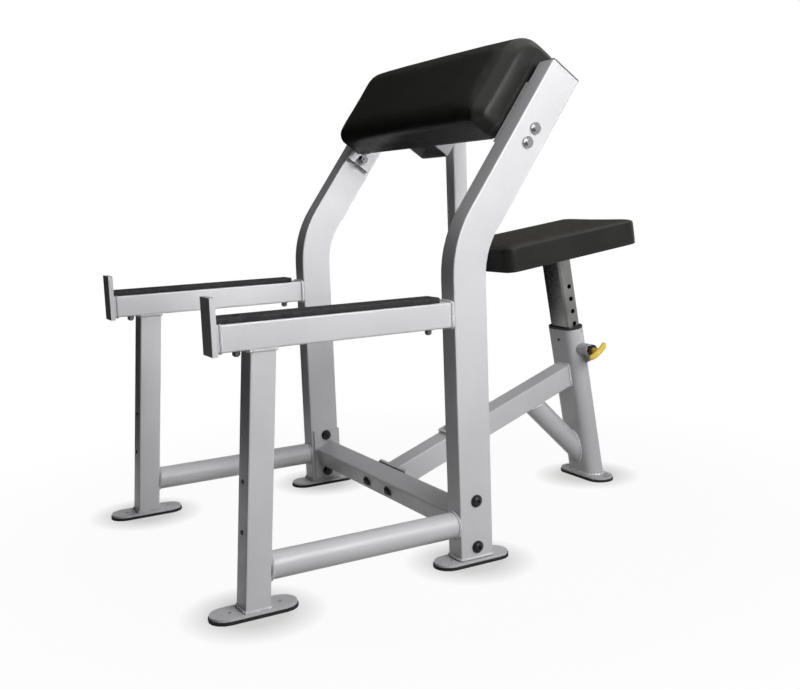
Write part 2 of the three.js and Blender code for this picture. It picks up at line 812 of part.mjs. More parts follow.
function rearTube() {
  const floor = planeIn(bench, [0, 0, 1], footTop + gap);
  const wall = 2 * stockWall;
  const outline = stadium(tubeWidth, tubeDepth);
  const bore = stadium(tubeWidth - wall, tubeDepth - wall);
  const pin = rod('x', pinHole, 0, tubeWidth, [0, pinHeight]);
  const screwHole = rod('y', sleeveScrewHole, -tubeDepth, tubeDepth, [sleeveScrewHeight, 0]);
  const tube = bar('z', outline, [bore], endOn(floor, riser, 'z'), tubeTop);
  add(riser, 'rear_tube', cut(tube, [pin, screwHole]), paint());
  const slack = wall + 2 * gap;
  const body = stadium(tubeWidth - slack, tubeDepth - slack);
  const open = 2 * sleeveClearance;
  const corner = seatPostCorner + sleeveClearance;
  const mouth = roundedRectangle(seatPostWidth + open, seatPostDepth + open, corner, cornerSteps);
  const rimBottom = tubeTop + gap;
  const insert = bar('z', body, [mouth], tubeTop - sleeveLength, rimBottom + sleeveRim / 2);
  const rim = bar('z', outline, [mouth], rimBottom, rimBottom + sleeveRim);
  add(riser, 'tube_sleeve', cut(join(insert, rim), [pin, screwHole]), blackPlastic());
}

// Pull pin on the tube's right side. It runs along X and springs into the seat post.

const barrelStart = tubeWidth / 2 + gap;
const nutStart = barrelEnd + gap;
const collarStart = barrelStart + gap;
const springStart = collarStart + collarThickness + gap;

function pinHousing() {
  const inside = tubeWidth / 2 - stockWall;
  const clear = 2 * gap;
  const flank = bar('z', stadium(tubeWidth + clear, tubeDepth + clear), [], -tubeWidth, tubeWidth);
  const tube = bar('x', circle(barrelDiameter, roundSides), [], inside, barrelEnd);
  const low = -barrelDiameter / 2;
  const shape = [
    new THREE.Vector2(low - guardDrop, inside),
    new THREE.Vector2(0, inside),
    new THREE.Vector2(0, barrelEnd),
    new THREE.Vector2(low, barrelEnd),
    new THREE.Vector2(low, guardReach),
    new THREE.Vector2(low - guardTip, guardReach),
  ];
  const guard = bar('y', shape, [], guardBehind - guardThickness / 2, guardBehind + guardThickness / 2);
  const barrel = cut(join(tube, guard), [flank, rod('x', barrelBore, 0, barrelEnd + overrun)]);
  add(riser, 'pin_barrel', barrel, paint()).position.z = pinHeight;
  const nut = bar('x', hexagon(barrelNutAcross), [circle(stemDiameter + 2 * gap, boltSides)], nutStart,
    nutStart + barrelNutHeight);
  add(riser, 'pin_nut', nut, blackPlastic()).position.z = pinHeight;
}

const hubStart = nutStart + barrelNutHeight + gap;
const stemEnd = hubStart + stemInHub;

function pinMoving() {
  const profile = [
    [0, pinReach], [pinDiameter / 2 - gap, pinReach], [pinDiameter / 2, pinReach + pinDiameter / 4],
    [pinDiameter / 2, collarStart], [collarDiameter / 2, collarStart],
    [collarDiameter / 2, collarStart + collarThickness], [stemDiameter / 2, collarStart + collarThickness],
    [stemDiameter / 2, stemEnd], [0, stemEnd],
  ];
  const plunger = placed(turned(profile), [0, 0, 0], [1, 0, 0]);
  add(riser, 'pin_plunger', plunger, zinc()).position.z = pinHeight;
  const run = new THREE.Vector3(0, Math.cos(turn(handleAngle)), Math.sin(turn(handleAngle)));
  const out = new THREE.Vector3(1, 0, 0);
  const across = new THREE.Vector3().crossVectors(out, run);
  const rings = handleTaperShares.map(([place, taper]) => {
    const centre = run.clone().multiplyScalar(place * handleLength / 2);
    centre.addScaledVector(out, handleMiddle - handleBulge * place * place);
    const thick = new THREE.Vector3().copy(out).multiplyScalar(handleLength / 2);
    thick.addScaledVector(run, 2 * handleBulge * place).normalize();
    return circle(handleThickness * taper, boltSides).map((point) => (
      centre.clone().addScaledVector(thick, point.x * handleFlatShare).addScaledVector(across, -point.y)
    ));
  });
  const socket = rod('x', stemDiameter + 2 * gap, hubStart - overrun, stemEnd + gap);
  const hub = rod('x', hubDiameter, hubStart, handleMiddle);
  const handle = cut(join(loft(rings), hub), [socket]);
  add(riser, 'pin_handle', handle, yellowPlastic()).position.z = pinHeight;
}

function pinSpring() {
  const wire = springWire / 2;
  const [from, to] = [springStart + wire, nutStart - gap - wire];
  const coil = (springDiameter - springWire) / 2;
  const rings = [];
  for (let step = 0; step <= springTurns * springSteps; step++) {
    const share = step / (springTurns * springSteps);
    const angle = 2 * Math.PI * step / springSteps;
    const spoke = new THREE.Vector3(0, Math.cos(angle), Math.sin(angle));
    const centre = spoke.clone().multiplyScalar(coil).setX(from + (to - from) * share);
    const along = new THREE.Vector3(1, 0, 0);
    rings.push(circle(springWire, springSides).map((point) => (
      centre.clone().addScaledVector(spoke, point.x).addScaledVector(along, -point.y)
    )));
  }
  add(riser, 'pin_spring', loft(rings), zinc()).position.z = pinHeight;
}

// Seat: post, plate, board and cushion

// Cushion on a board in the XY plane, with its longer or shorter sides drawn in towards the board
function cushion(sizeU, sizeV, corner, height, roundness) {
  const outlineAt = (inset) => {
    const radius = Math.max(corner - inset / 2, corner / 4);
    return roundedRectangle(sizeU - 2 * inset, sizeV - 2 * inset, radius, softCornerSteps);
  };
  const edge = sideShares.map(([drawn, rise]) => [drawn * roundness, rise * height]);
  const [lastInset, lastRise] = edge.at(-1);
  const remaining = Math.min(sizeU, sizeV) / 2 - corner / 4 - lastInset;
  const crown = crownShares.map(([way, rise]) => (
    [lastInset + way * remaining, lastRise + rise * (height - lastRise)]
  ));
  return loft([...edge, ...crown].map(([inset, z]) => (
    outlineAt(inset).map((point) => new THREE.Vector3(point.x, point.y, z))
  )));
}

const seatRise = Math.tan(turn(seatTiltAngle));
const seatMiddleY = seatFront + seatLength * Math.cos(turn(seatTiltAngle)) / 2;
const saddle = frameAt(seatMiddleY, seatUnderside + (seatMiddleY - seatUndersideY) * seatRise, seatTiltAngle);
bench.add(saddle);

// Place along the seat where the post's axis meets the underside of its plate
function seatPlateMiddle() {
  const under = planeIn(saddle, [0, 0, 1], -gap - plate);
  const height = endOn(under, riser, 'z')(0, 0);
  const crossing = new THREE.Vector3(0, 0, height).applyMatrix4(riser.matrix);
  return crossing.applyMatrix4(saddle.matrix.clone().invert()).y;
}

function seatPost() {
  const under = planeIn(saddle, [0, 0, 1], -gap - plate - gap);
  const outline = roundedRectangle(seatPostWidth, seatPostDepth, seatPostCorner, cornerSteps);
  const [boreWidth, boreDepth] = [seatPostWidth - 2 * stockWall, seatPostDepth - 2 * stockWall];
  const bore = roundedRectangle(boreWidth, boreDepth, seatPostCorner - stockWall, cornerSteps);
  const tube = bar('z', outline, [bore], pinHeight - seatPostBelowPin, endOn(under, riser, 'z'));
  const holes = [];
  for (let step = -holesBelow; step <= holesAbove; step++) {
    holes.push(rod('x', pinHole, seatPostWidth / 4, seatPostWidth, [0, pinHeight + step * holePitch]));
  }
  add(riser, 'seat_post', cut(tube, holes), chrome());
}

function seatTop() {
  const [across, along] = [seatPlateWidth / 2 - seatBoltInset, seatPlateLength / 2 - seatBoltInset];
  const boltPlaces = [-1, 1].flatMap((end) => [-1, 1].map((side) => (
    [side * across, seatPlateMiddle() + end * along]
  )));
  const bottom = -gap - plate;
  const shape = roundedRectangle(seatPlateWidth, seatPlateLength, stockCorner, cornerSteps);
  const blank = bar('z', shape, [], bottom, -gap).translate(0, seatPlateMiddle(), 0);
  const plateHoles = boltPlaces.map((place) => rod('z', screwHole, -overrun, overrun, place));
  add(saddle, 'seat_mount_plate', cut(blank, plateHoles), paint());
  const inset = 2 * boardInset;
  const boardCut = seatCorner - boardInset;
  const boardShape = roundedRectangle(seatWidth - inset, seatLength - inset, boardCut, softCornerSteps);
  const deep = seatBoltLength - plate;
  const boardHoles = boltPlaces.map((place) => rod('z', screwHole, -overrun, deep, place));
  add(saddle, 'seat_board', cut(bar('z', boardShape, [], 0, seatBoard), boardHoles), vinyl());
  const soft = cushion(seatWidth, seatLength, seatCorner, seatCushionHeight, seatRoundness);
  add(saddle, 'seat_cushion', soft.translate(0, 0, seatBoard + gap), vinyl());
}

// Arm pad on the crossbars and the bracket. Its cushion rolls over the board's high end.

function padRing(x, inset, swell) {
  const [low, high] = [inset - armPadLow, armPadHigh - inset];
  const [back, front] = [inset - rollBack, armPadFront - armPadCrown - inset + swell];
  const radii = [rollRadius, armPadRoundness, armPadRoundness, armPadRoundness];
  const outline = softBlock([low, high], [back, front], radii.map((radius) => radius - inset / 2));
  return outline.map((point) => new THREE.Vector3(x, point.x, point.y));
}

function armPadRings() {
  const flat = armPadWidth / 2 - armPadRoundness;
  const ends = padEndShares.map(([way, inwards]) => (
    [armPadWidth / 2 - way * armPadRoundness, inwards * armPadRoundness, 0]
  ));
  const crown = padCrownShares.map(([way, rise]) => [flat * (1 - way), 0, rise * armPadCrown]);
  const half = [...ends, ...crown];
  const mirrored = half.slice(0, -1).reverse().map(([x, inset, swell]) => [-x, inset, swell]);
  return [...half, ...mirrored].map((station) => padRing(...station));
}

function armPad() {
  const [low, high] = [boardInset - armPadLow, boardHigh];
  const middle = (low + high) / 2;
  const shape = roundedRectangle(armPadWidth - 2 * boardInset, high - low, boardCorner, softCornerSteps);
  const blank = bar('z', shape, [], -armPadBack, armPadBoard - armPadBack).translate(0, middle, 0);
  const deep = armPadScrewReach - armPadBack;
  const holes = screwPlaces.map((x) => rod('z', screwHole, -stock, deep, [x, crossbarMiddle]));
  add(incline, 'arm_pad_board', cut(blank, holes), vinyl());
  const [below, above] = [-armPadBack - gap, armPadBoard - armPadBack + gap];
  const [width, length] = [armPadWidth + overrun, 2 * armPadLow];
  const slot = block([width, length, above - below], [0, boardHigh + gap - armPadLow, (above + below) / 2]);
  const behind = block([width, length, 2 * rollBack], [0, -rollLip - armPadLow, above - rollBack]);
  add(incline, 'arm_pad_cushion', cut(loft(armPadRings()), [slot, behind]), vinyl());
}

feet();
frontLegs();
rails();
stripFasteners();
lowerTubes();
uprights();
lowerCrossmember();
frameFasteners();
spine();
brace();
middlePost();
padFrame();
padFrameFasteners();
rearTube();
pinHousing();
pinMoving();
pinSpring();
seatPost();
seatTop();
armPad();

// The finished bench stands on the floor, centred on the middle of its outline
const outlineBox = new THREE.Box3().setFromObject(bench, true);
bench.position.y = -(outlineBox.min.y + outlineBox.max.y) / 2;

export default bench;
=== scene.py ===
import json
import math

import bmesh
import bpy
from mathutils import Matrix, Vector, noise
from mathutils.kdtree import KDTree


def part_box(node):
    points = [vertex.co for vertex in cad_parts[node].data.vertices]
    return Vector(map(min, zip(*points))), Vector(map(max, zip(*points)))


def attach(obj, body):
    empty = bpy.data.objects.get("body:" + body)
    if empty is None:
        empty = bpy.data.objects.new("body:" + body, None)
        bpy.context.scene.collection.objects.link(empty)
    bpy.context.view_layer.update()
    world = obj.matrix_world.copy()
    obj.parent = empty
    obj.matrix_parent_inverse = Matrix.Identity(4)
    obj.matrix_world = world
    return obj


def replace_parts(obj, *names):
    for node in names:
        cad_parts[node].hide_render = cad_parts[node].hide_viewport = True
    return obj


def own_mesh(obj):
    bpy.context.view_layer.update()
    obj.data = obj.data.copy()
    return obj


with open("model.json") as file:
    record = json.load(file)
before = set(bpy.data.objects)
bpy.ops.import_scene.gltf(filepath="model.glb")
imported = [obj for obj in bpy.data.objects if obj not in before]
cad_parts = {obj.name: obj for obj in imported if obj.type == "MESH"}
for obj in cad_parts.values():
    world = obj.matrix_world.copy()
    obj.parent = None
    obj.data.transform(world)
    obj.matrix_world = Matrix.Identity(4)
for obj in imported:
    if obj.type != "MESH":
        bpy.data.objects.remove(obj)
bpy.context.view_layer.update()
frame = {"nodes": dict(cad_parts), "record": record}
nodes = frame["nodes"]
scene = bpy.context.scene

FRAME_BODY = "frame"
SEAT_BODY = "seat"
SIDES = (("left", -1), ("right", 1))

# Frames of the bench, in metres and degrees: where they start on Y and Z, and their tilt about X
HALF_TRACK = 0.3565
OUTER_FACE = 0.3815
SLOPE = (0.16281, 0.99195, 54.36)
SADDLE = (0.41063, 0.57612, 7.4)
LEG = (-0.51377, 0.011, -4.63)
RISER = (0.54333, 0.0, 9.2)
CLIMB = (-0.04657, 0.0835, 20.15)


def frame_matrix(place):
    y, z, tilt = place
    return Matrix.Translation((0, y, z)) @ Matrix.Rotation(math.radians(tilt), 4, "X")


slope, saddle, leg, riser, climb = (frame_matrix(place) for place in (SLOPE, SADDLE, LEG, RISER, CLIMB))


# Materials


class Look:
    """A node material: helpers add nodes and return the socket that carries their result."""

    def __init__(self, name, roughness, metallic=0.0, specular=0.5):
        self.material = bpy.data.materials.new(name)
        self.material.use_nodes = True
        self.tree = self.material.node_tree
        self.shader = self.tree.nodes["Principled BSDF"]
        self.shader.inputs["Roughness"].default_value = roughness
        self.shader.inputs["Metallic"].default_value = metallic
        self.shader.inputs["Specular IOR Level"].default_value = specular
        self.coords = self.tree.nodes.new("ShaderNodeTexCoord").outputs["Object"]
        self.normal = None

    def new(self, kind, **values):
        node = self.tree.nodes.new(kind)
        for key, value in values.items():
            setattr(node, key, value)
        return node

    def link(self, source, target):
        self.tree.links.new(source, target)

    def stretched(self, scale):
        mapping = self.new("ShaderNodeMapping")
        mapping.inputs["Scale"].default_value = scale
        self.link(self.coords, mapping.inputs["Vector"])
        return mapping.outputs["Vector"]

    def noise(self, scale, detail=3.0, roughness=0.5, vector=None, distortion=0.0):
        node = self.new("ShaderNodeTexNoise")
        node.inputs["Scale"].default_value = scale
        node.inputs["Detail"].default_value = detail
        node.inputs["Roughness"].default_value = roughness
        node.inputs["Distortion"].default_value = distortion
        self.link(vector or self.coords, node.inputs["Vector"])
        return node.outputs["Fac"]

    def cells(self, scale, feature="F1", vector=None, randomness=1.0):
        node = self.new("ShaderNodeTexVoronoi", feature=feature)
        node.inputs["Scale"].default_value = scale
        node.inputs["Randomness"].default_value = randomness
        self.link(vector or self.coords, node.inputs["Vector"])
        return node.outputs["Distance"]

    def spread(self, value, low, high, to_low, to_high):
        node = self.new("ShaderNodeMapRange")
        for key, number in (("From Min", low), ("From Max", high), ("To Min", to_low), ("To Max", to_high)):
            node.inputs[key].default_value = number
        self.link(value, node.inputs["Value"])
        return node.outputs["Result"]

    def ramp(self, value, stops):
        node = self.new("ShaderNodeValToRGB")
        elements = node.color_ramp.elements
        while len(elements) < len(stops):
            elements.new(0.5)
        for element, (place, color) in zip(elements, stops):
            element.position = place
            element.color = (*color, 1)
        self.link(value, node.inputs["Fac"])
        return node.outputs["Color"]

    def mix(self, factor, first, second, blend="MIX"):
        node = self.new("ShaderNodeMix", data_type="RGBA", blend_type=blend)
        colors = [socket for socket in node.inputs if socket.type == "RGBA"]
        amount = node.inputs["Factor"]
        if isinstance(factor, float):
            amount.default_value = factor
        else:
            self.link(factor, amount)
        for socket, source in zip(colors, (first, second)):
            if isinstance(source, tuple):
                socket.default_value = (*source, 1)
            else:
                self.link(source, socket)
        return next(socket for socket in node.outputs if socket.type == "RGBA")

    def color(self, source):
        self.link(source, self.shader.inputs["Base Color"])

    def rough(self, source):
        self.link(source, self.shader.inputs["Roughness"])

    def bump(self, height, strength, distance):
        node = self.new("ShaderNodeBump")
        node.inputs["Strength"].default_value = strength
        node.inputs["Distance"].default_value = distance
        self.link(height, node.inputs["Height"])
        if self.normal:
            self.link(self.normal, node.inputs["Normal"])
        self.normal = node.outputs["Normal"]
        self.link(self.normal, self.shader.inputs["Normal"])


def paint_look(name, dark, light, roughness):
    """Silver powder coat: fine flakes, slow colour drift and a light orange peel."""
    look = Look(name, roughness, metallic=0.08, specular=0.35)
    drift = look.noise(5.0, 4.0)
    base = look.ramp(drift, ((0.3, dark), (0.7, light)))
    flakes = look.cells(900.0)
    look.color(look.mix(look.spread(flakes, 0.0, 0.6, 0.16, 0.0), base, (0.92, 0.92, 0.94), "SCREEN"))
    look.rough(look.spread(look.noise(30.0, 5.0, 0.6), 0.3, 0.7, roughness - 0.06, roughness + 0.08))
    look.bump(look.noise(420.0, 2.0), 0.18, 0.0004)
    look.bump(look.noise(60.0, 2.0), 0.08, 0.0006)
    return look.material


def vinyl_look(name, dark, light, painted_top_light):
    """Black upholstery vinyl: leather grain, pores and soft shine.

    Its upward-facing side is painted lighter, a painted highlight that stands in for the light from above.
    """
    look = Look(name, 0.36, specular=0.13)
    tint = look.noise(9.0, 4.0, 0.6)
    facing = look.new("ShaderNodeSeparateXYZ")
    look.link(look.new("ShaderNodeTexCoord").outputs["Normal"], facing.inputs["Vector"])
    # Painted top light: the colour lightens where the surface faces up, by the normal's Z.
    painted_top_light_share = look.spread(facing.outputs["Z"], 0.3, 1.0, 0.0, 1.0)
    look.color(look.mix(painted_top_light_share, look.ramp(tint, ((0.3, dark), (0.7, light))), painted_top_light))
    grain = look.cells(520.0, "SMOOTH_F1")
    fine = look.noise(1500.0, 3.0, 0.6)
    look.rough(look.spread(look.noise(45.0, 5.0, 0.65), 0.3, 0.7, 0.30, 0.43))
    look.bump(grain, 0.32, 0.0007)
    look.bump(fine, 0.12, 0.0003)
    look.bump(look.noise(34.0, 3.0, 0.5), 0.12, 0.0016)
    return look.material


def rubber_look(name, dark, light, scale):
    look = Look(name, 0.75, specular=0.3)
    look.color(look.ramp(look.noise(scale, 6.0, 0.7), ((0.35, dark), (0.75, light))))
    look.rough(look.spread(look.noise(scale * 3, 4.0), 0.3, 0.7, 0.62, 0.88))
    look.bump(look.noise(scale * 16, 4.0, 0.65), 0.4, 0.0006)
    return look.material


def metal_look(name, dark, light, roughness, scratch):
    """Plated steel: fine drawn scratches and faint smudges."""
    look = Look(name, roughness, metallic=1.0)
    smudge = look.noise(14.0, 5.0, 0.6)
    look.color(look.ramp(smudge, ((0.25, dark), (0.75, light))))
    drawn = look.noise(60.0, 4.0, 0.7, look.stretched((22.0, 22.0, 1.0)))
    look.rough(look.spread(drawn, 0.3, 0.7, max(roughness - scratch, 0.03), roughness + scratch))
    look.bump(drawn, 0.05, 0.0002)
    return look.material


def plastic_look(name, dark, light, roughness, grain, shine=0.45):
    look = Look(name, roughness, specular=shine)
    look.color(look.ramp(look.noise(40.0, 4.0, 0.6), ((0.3, dark), (0.7, light))))
    look.rough(look.spread(look.noise(160.0, 3.0), 0.3, 0.7, roughness - 0.08, roughness + 0.1))
    look.bump(look.noise(grain, 3.0, 0.6), 0.2, 0.0003)
    return look.material


paint = paint_look("frame_paint", (0.475, 0.473, 0.484), (0.54, 0.538, 0.55), 0.42)
weld_paint = paint_look("weld_paint", (0.42, 0.42, 0.42), (0.58, 0.58, 0.58), 0.24)
foot_rubber = rubber_look("foot_rubber", (0.010, 0.010, 0.011), (0.022, 0.022, 0.024), 50.0)
strip_rubber = rubber_look("strip_rubber", (0.013, 0.013, 0.014), (0.026, 0.026, 0.027), 30.0)
vinyl = vinyl_look("vinyl", (0.015, 0.015, 0.0142), (0.022, 0.022, 0.0205), (0.042, 0.041, 0.036))
chrome = metal_look("chrome", (0.27, 0.27, 0.28), (0.40, 0.40, 0.41), 0.11, 0.05)
post_steel = metal_look("post_steel", (0.13, 0.13, 0.13), (0.24, 0.24, 0.235), 0.25, 0.09)
zinc = metal_look("zinc", (0.42, 0.42, 0.43), (0.56, 0.56, 0.58), 0.3, 0.1)
dark_zinc = metal_look("dark_zinc", (0.07, 0.07, 0.072), (0.14, 0.14, 0.145), 0.36, 0.1)
black_steel = plastic_look("black_steel", (0.008, 0.008, 0.009), (0.016, 0.016, 0.018), 0.3, 500.0, 0.25)
black_plastic = plastic_look("black_plastic", (0.010, 0.010, 0.011), (0.02, 0.02, 0.022), 0.5, 900.0)
yellow_plastic = plastic_look("yellow_plastic", (0.72, 0.48, 0.05), (0.84, 0.60, 0.085), 0.34, 700.0)

LOOKS = {
    "frame_paint": paint, "foot_rubber": foot_rubber, "strip_rubber": strip_rubber, "vinyl": vinyl,
    "chrome": chrome, "black_steel": black_steel, "zinc": zinc, "black_plastic": black_plastic,
    "yellow_plastic": yellow_plastic,
}


# Mesh helpers


def shade(obj, angle=32.0):
    """Smooth shading with sharp edges where faces meet at more than an angle."""
    for polygon in obj.data.polygons:
        polygon.use_smooth = True
    obj.data.set_sharp_from_angle(angle=math.radians(angle))


def piece(name, vertices, faces, material, body, angle=32.0):
    """A new mesh object that rides on a CAD body."""
    mesh = bpy.data.meshes.new(name)
    mesh.from_pydata([tuple(vertex) for vertex in vertices], [], faces)
    mesh.validate()
    work = bmesh.new()
    work.from_mesh(mesh)
    bmesh.ops.remove_doubles(work, verts=work.verts, dist=1e-6)
    bmesh.ops.recalc_face_normals(work, faces=work.faces)
    work.to_mesh(mesh)
    work.free()
    obj = bpy.data.objects.new(name, mesh)
    scene.collection.objects.link(obj)
    mesh.materials.append(material)
    shade(obj, angle)
    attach(obj, body)
    return obj


class Build:
    """Gathers several closed shells into one piece."""

    def __init__(self):
        self.vertices = []
        self.faces = []

    def rings(self, rings, closed=True, loop=False):
        start = len(self.vertices)
        count = len(rings[0])
        for ring in rings:
            self.vertices.extend(ring)
        spans = len(rings) if loop else len(rings) - 1
        for span in range(spans):
            first = start + span * count
            second = start + (span + 1) % len(rings) * count
            for i in range(count):
                j = (i + 1) % count
                self.faces.append((first + i, first + j, second + j, second + i))
        if closed and not loop:
            last = start + (len(rings) - 1) * count
            self.faces.append(tuple(range(start + count - 1, start - 1, -1)))
            self.faces.append(tuple(range(last, last + count)))

    def piece(self, name, material, body, slot, angle=32.0):
        return piece(name, self.vertices, self.faces, material, body, angle)


def basis(axis):
    """Two directions square to an axis."""
    axis = Vector(axis).normalized()
    helper = Vector((0, 0, 1)) if abs(axis.z) < 0.9 else Vector((1, 0, 0))
    first = axis.cross(helper).normalized()
    return first, axis.cross(first)


def spun(build, profile, origin, axis, count=32):
    """Adds a shell turned about an axis. A radius may be a number or a function of the angle."""
    axis = Vector(axis).normalized()
    origin = Vector(origin)
    first, second = basis(axis)
    rings = []
    for radius, height in profile:
        ring = []
        for i in range(count):
            angle = 2 * math.pi * i / count
            reach = radius(angle) if callable(radius) else radius
            ring.append(origin + axis * height + first * (reach * math.cos(angle)) + second * (reach * math.sin(angle)))
        rings.append(ring)
    build.rings(rings)


def hexagon(across):
    """Radius of a hexagon at an angle, from its size across the flats."""
    sixth = math.pi / 3
    return lambda angle: across / 2 / math.cos(angle % sixth - sixth / 2)


def rounded_hexagon(across, limit):
    flat = hexagon(across)
    return lambda angle: min(flat(angle), limit)


def plain_mesh(node):
    work = bmesh.new()
    work.from_mesh(nodes[node].data)
    bmesh.ops.remove_doubles(work, verts=work.verts, dist=1e-6)
    return work


def section(node, point, normal):
    """The longest closed loop where a plane cuts a CAD node."""
    work = plain_mesh(node)
    geometry = work.verts[:] + work.edges[:] + work.faces[:]
    result = bmesh.ops.bisect_plane(work, geom=geometry, dist=1e-7, plane_co=point, plane_no=normal)
    edges = [item for item in result["geom_cut"] if isinstance(item, bmesh.types.BMEdge)]
    near = {}
    for edge in edges:
        a, b = edge.verts
        near.setdefault(a, []).append(b)
        near.setdefault(b, []).append(a)
    loops = []
    seen = set()
    for start in near:
        if start in seen:
            continue
        loop = [start]
        seen.add(start)
        here = start
        while True:
            step = next((other for other in near[here] if other not in seen), None)
            if step is None:
                break
            seen.add(step)
            loop.append(step)
            here = step
        loops.append([vertex.co.copy() for vertex in loop])
    work.free()

    def length(loop):
        return sum((loop[i] - loop[i - 1]).length for i in range(len(loop)))

    return max(loops, key=length)


def end_plane(node, direction, low=0.55):
    """Middle and normal of the flat end of a CAD node that faces a direction."""
    work = plain_mesh(node)
    direction = Vector(direction).normalized()
    reach = max(vertex.co.dot(direction) for vertex in work.verts)
    area = 0.0
    normal = Vector()
    centre = Vector()
    for face in work.faces:
        if face.normal.dot(direction) > low and face.calc_center_median().dot(direction) > reach - 0.05:
            size = face.calc_area()
            area += size
            normal += face.normal * size
            centre += face.calc_center_median() * size
    work.free()
    return centre / area, normal.normalized()


def even_loop(loop, step):
    """The same closed loop with points a step apart."""
    closed = loop + [loop[0]]
    lengths = [(closed[i + 1] - closed[i]).length for i in range(len(loop))]
    total = sum(lengths)
    count = max(8, round(total / step))
    points = []
    index, passed = 0, 0.0
    for i in range(count):
        target = total * i / count
        while index < len(loop) - 1 and passed + lengths[index] < target:
            passed += lengths[index]
            index += 1
        share = (target - passed) / max(lengths[index], 1e-9)
        points.append(closed[index].lerp(closed[index + 1], min(share, 1.0)))
    return points


WELD_RADIUS = 0.0032
WELD_RIPPLE = 0.0042
WELD_STEP = 0.0011
WELD_SIDES = 7


def add_bead(build, loop, normal, radius=WELD_RADIUS, seed=0.0):
    """A rippled weld bead along a closed loop in a plane."""
    points = even_loop(loop, WELD_STEP)
    middle = sum(points, Vector()) / len(points)
    rings = []
    for i, point in enumerate(points):
        tangent = (points[(i + 1) % len(points)] - points[i - 1]).normalized()
        outward = tangent.cross(normal).normalized()
        if outward.dot(point - middle) < 0:
            outward = -outward
        phase = i * WELD_STEP / WELD_RIPPLE * 2 * math.pi
        wander = noise.noise(Vector((point.x * 60, point.y * 60, point.z * 60 + seed)))
        size = radius * (1 + 0.13 * math.cos(phase) + 0.16 * wander)
        ring = []
        for k in range(WELD_SIDES):
            angle = 2 * math.pi * k / WELD_SIDES
            ring.append(point + outward * size * math.cos(angle) + normal * size * math.sin(angle))
        rings.append(ring)
    build.rings(rings, loop=True)


def weld_end(build, node, direction, radius=WELD_RADIUS, inset=0.0012, low=0.55):
    centre, normal = end_plane(node, direction, low)
    loop = section(node, centre - normal * inset, normal)
    add_bead(build, loop, normal, radius)


# CAD nodes: finishes from the record's slots, smooth over their fine facets

FACET_ANGLE = 32.0


def smooth_over_facets(mesh):
    """Sets the shading normals of a mesh as if its facets were round. Wide faces keep their own direction."""
    areas = {}
    keys = []
    for polygon in mesh.polygons:
        normal = polygon.normal
        key = tuple(round(value, 3) for value in normal) + (round(normal.dot(polygon.center), 5),)
        areas[key] = areas.get(key, 0) + polygon.area
        keys.append(key)
    places = [tuple(round(value, 5) for value in vertex.co) for vertex in mesh.vertices]
    around = {}
    for polygon, key in zip(mesh.polygons, keys):
        for vertex in polygon.vertices:
            around.setdefault(places[vertex], {})[key] = polygon.normal.copy()
    limit = math.cos(math.radians(FACET_ANGLE))
    normals = [None] * len(mesh.loops)
    for polygon in mesh.polygons:
        for index in polygon.loop_indices:
            total = Vector()
            for key, normal in around[places[mesh.loops[index].vertex_index]].items():
                if normal.dot(polygon.normal) > limit:
                    total += normal * areas[key]
            normals[index] = total.normalized() if total.length > 0 else polygon.normal.copy()
    mesh.normals_split_custom_set(normals)


slot_of = {row["node"]: row["material_slot"] for row in frame["record"]["subparts"]}
for name, node in nodes.items():
    node.data.materials.clear()
    node.data.materials.append(post_steel if name == "seat_post" else LOOKS[slot_of[name]])
    shade(node)
    smooth_over_facets(node.data)


# Welds of the frame

welds = Build()
for side, _ in SIDES:
    weld_end(welds, f"front_leg_{side}", (0, 0, -1))
    weld_end(welds, f"front_leg_{side}", (0, 0, 1))
    weld_end(welds, f"upright_{side}", (0, 0, -1))
    weld_end(welds, f"rail_{side}", (0, 1, 0))
    weld_end(welds, f"rail_{side}", (0, -1, 0), 0.0028)
    weld_end(welds, f"lower_tube_{side}", (0, -1, 0))
    weld_end(welds, f"lower_tube_{side}", (0, 1, 0))
for sign in (-1, 1):
    weld_end(welds, "lower_crossmember", (sign, 0, 0))
weld_end(welds, "rear_tube", (0, 0, -1))
weld_end(welds, "spine", (0, 1, 0))
weld_end(welds, "brace", (0, -0.7, 0.7))
weld_end(welds, "brace", (0, 0.8, -0.4), low=0.3)
weld_end(welds, "middle_post", (0, -0.2, 1), low=0.3)
for side, sign in SIDES:
    weld_end(welds, f"upper_crossbar_{side}", (-sign, 0, 0))
welds.piece("weld_beads", weld_paint, FRAME_BODY, "frame_paint")


# Bolts with domed or hexagonal heads, which stand for the plain ones of the frame

BUTTON_HEAD = 0.0205
BUTTON_HEIGHT = 0.0055
WASHER = 0.025
WASHER_HEIGHT = 0.0025
SHANK = 0.010
FLAT_ACROSS = 0.0138
FLAT_HEIGHT = 0.0064
DOME = ((1.0, 0.0), (1.0, 0.12), (0.97, 0.34), (0.88, 0.58), (0.72, 0.80), (0.52, 0.93), (0.40, 0.985))
HEX_KEY_SHARE = 0.30
KEY_DEPTH_SHARE = 0.62


def washer(build, origin, axis, radius, height):
    edge = height * 0.2
    spun(build, ((0.001, 0), (radius - edge, 0), (radius, edge), (radius, height - edge), (radius - edge, height),
                 (0.001, height)), origin, axis)


def button_head(build, origin, axis, radius, height):
    """Dome with a hexagonal key hole, from its seat outwards."""
    key = hexagon(2 * radius * HEX_KEY_SHARE)
    outline = [(0.001, 0.0)] + [(radius * share, height * rise) for share, rise in DOME]
    profile = outline + [(key, height), (key, height * (1 - KEY_DEPTH_SHARE)), (0.0008, height * (1 - KEY_DEPTH_SHARE))]
    spun(build, profile, origin, axis, 48)


def hex_head(build, origin, axis, across, height):
    """Hexagon with a domed, chamfered top."""
    corner = across / 2 / math.cos(math.pi / 6)
    profile = ((0.001, 0), (hexagon(across), 0), (hexagon(across), height * 0.62),
               (rounded_hexagon(across, corner * 0.95), height * 0.76), (across * 0.40, height * 0.93),
               (across * 0.22, height * 0.99), (0.0008, height))
    spun(build, profile, origin, axis, 48)


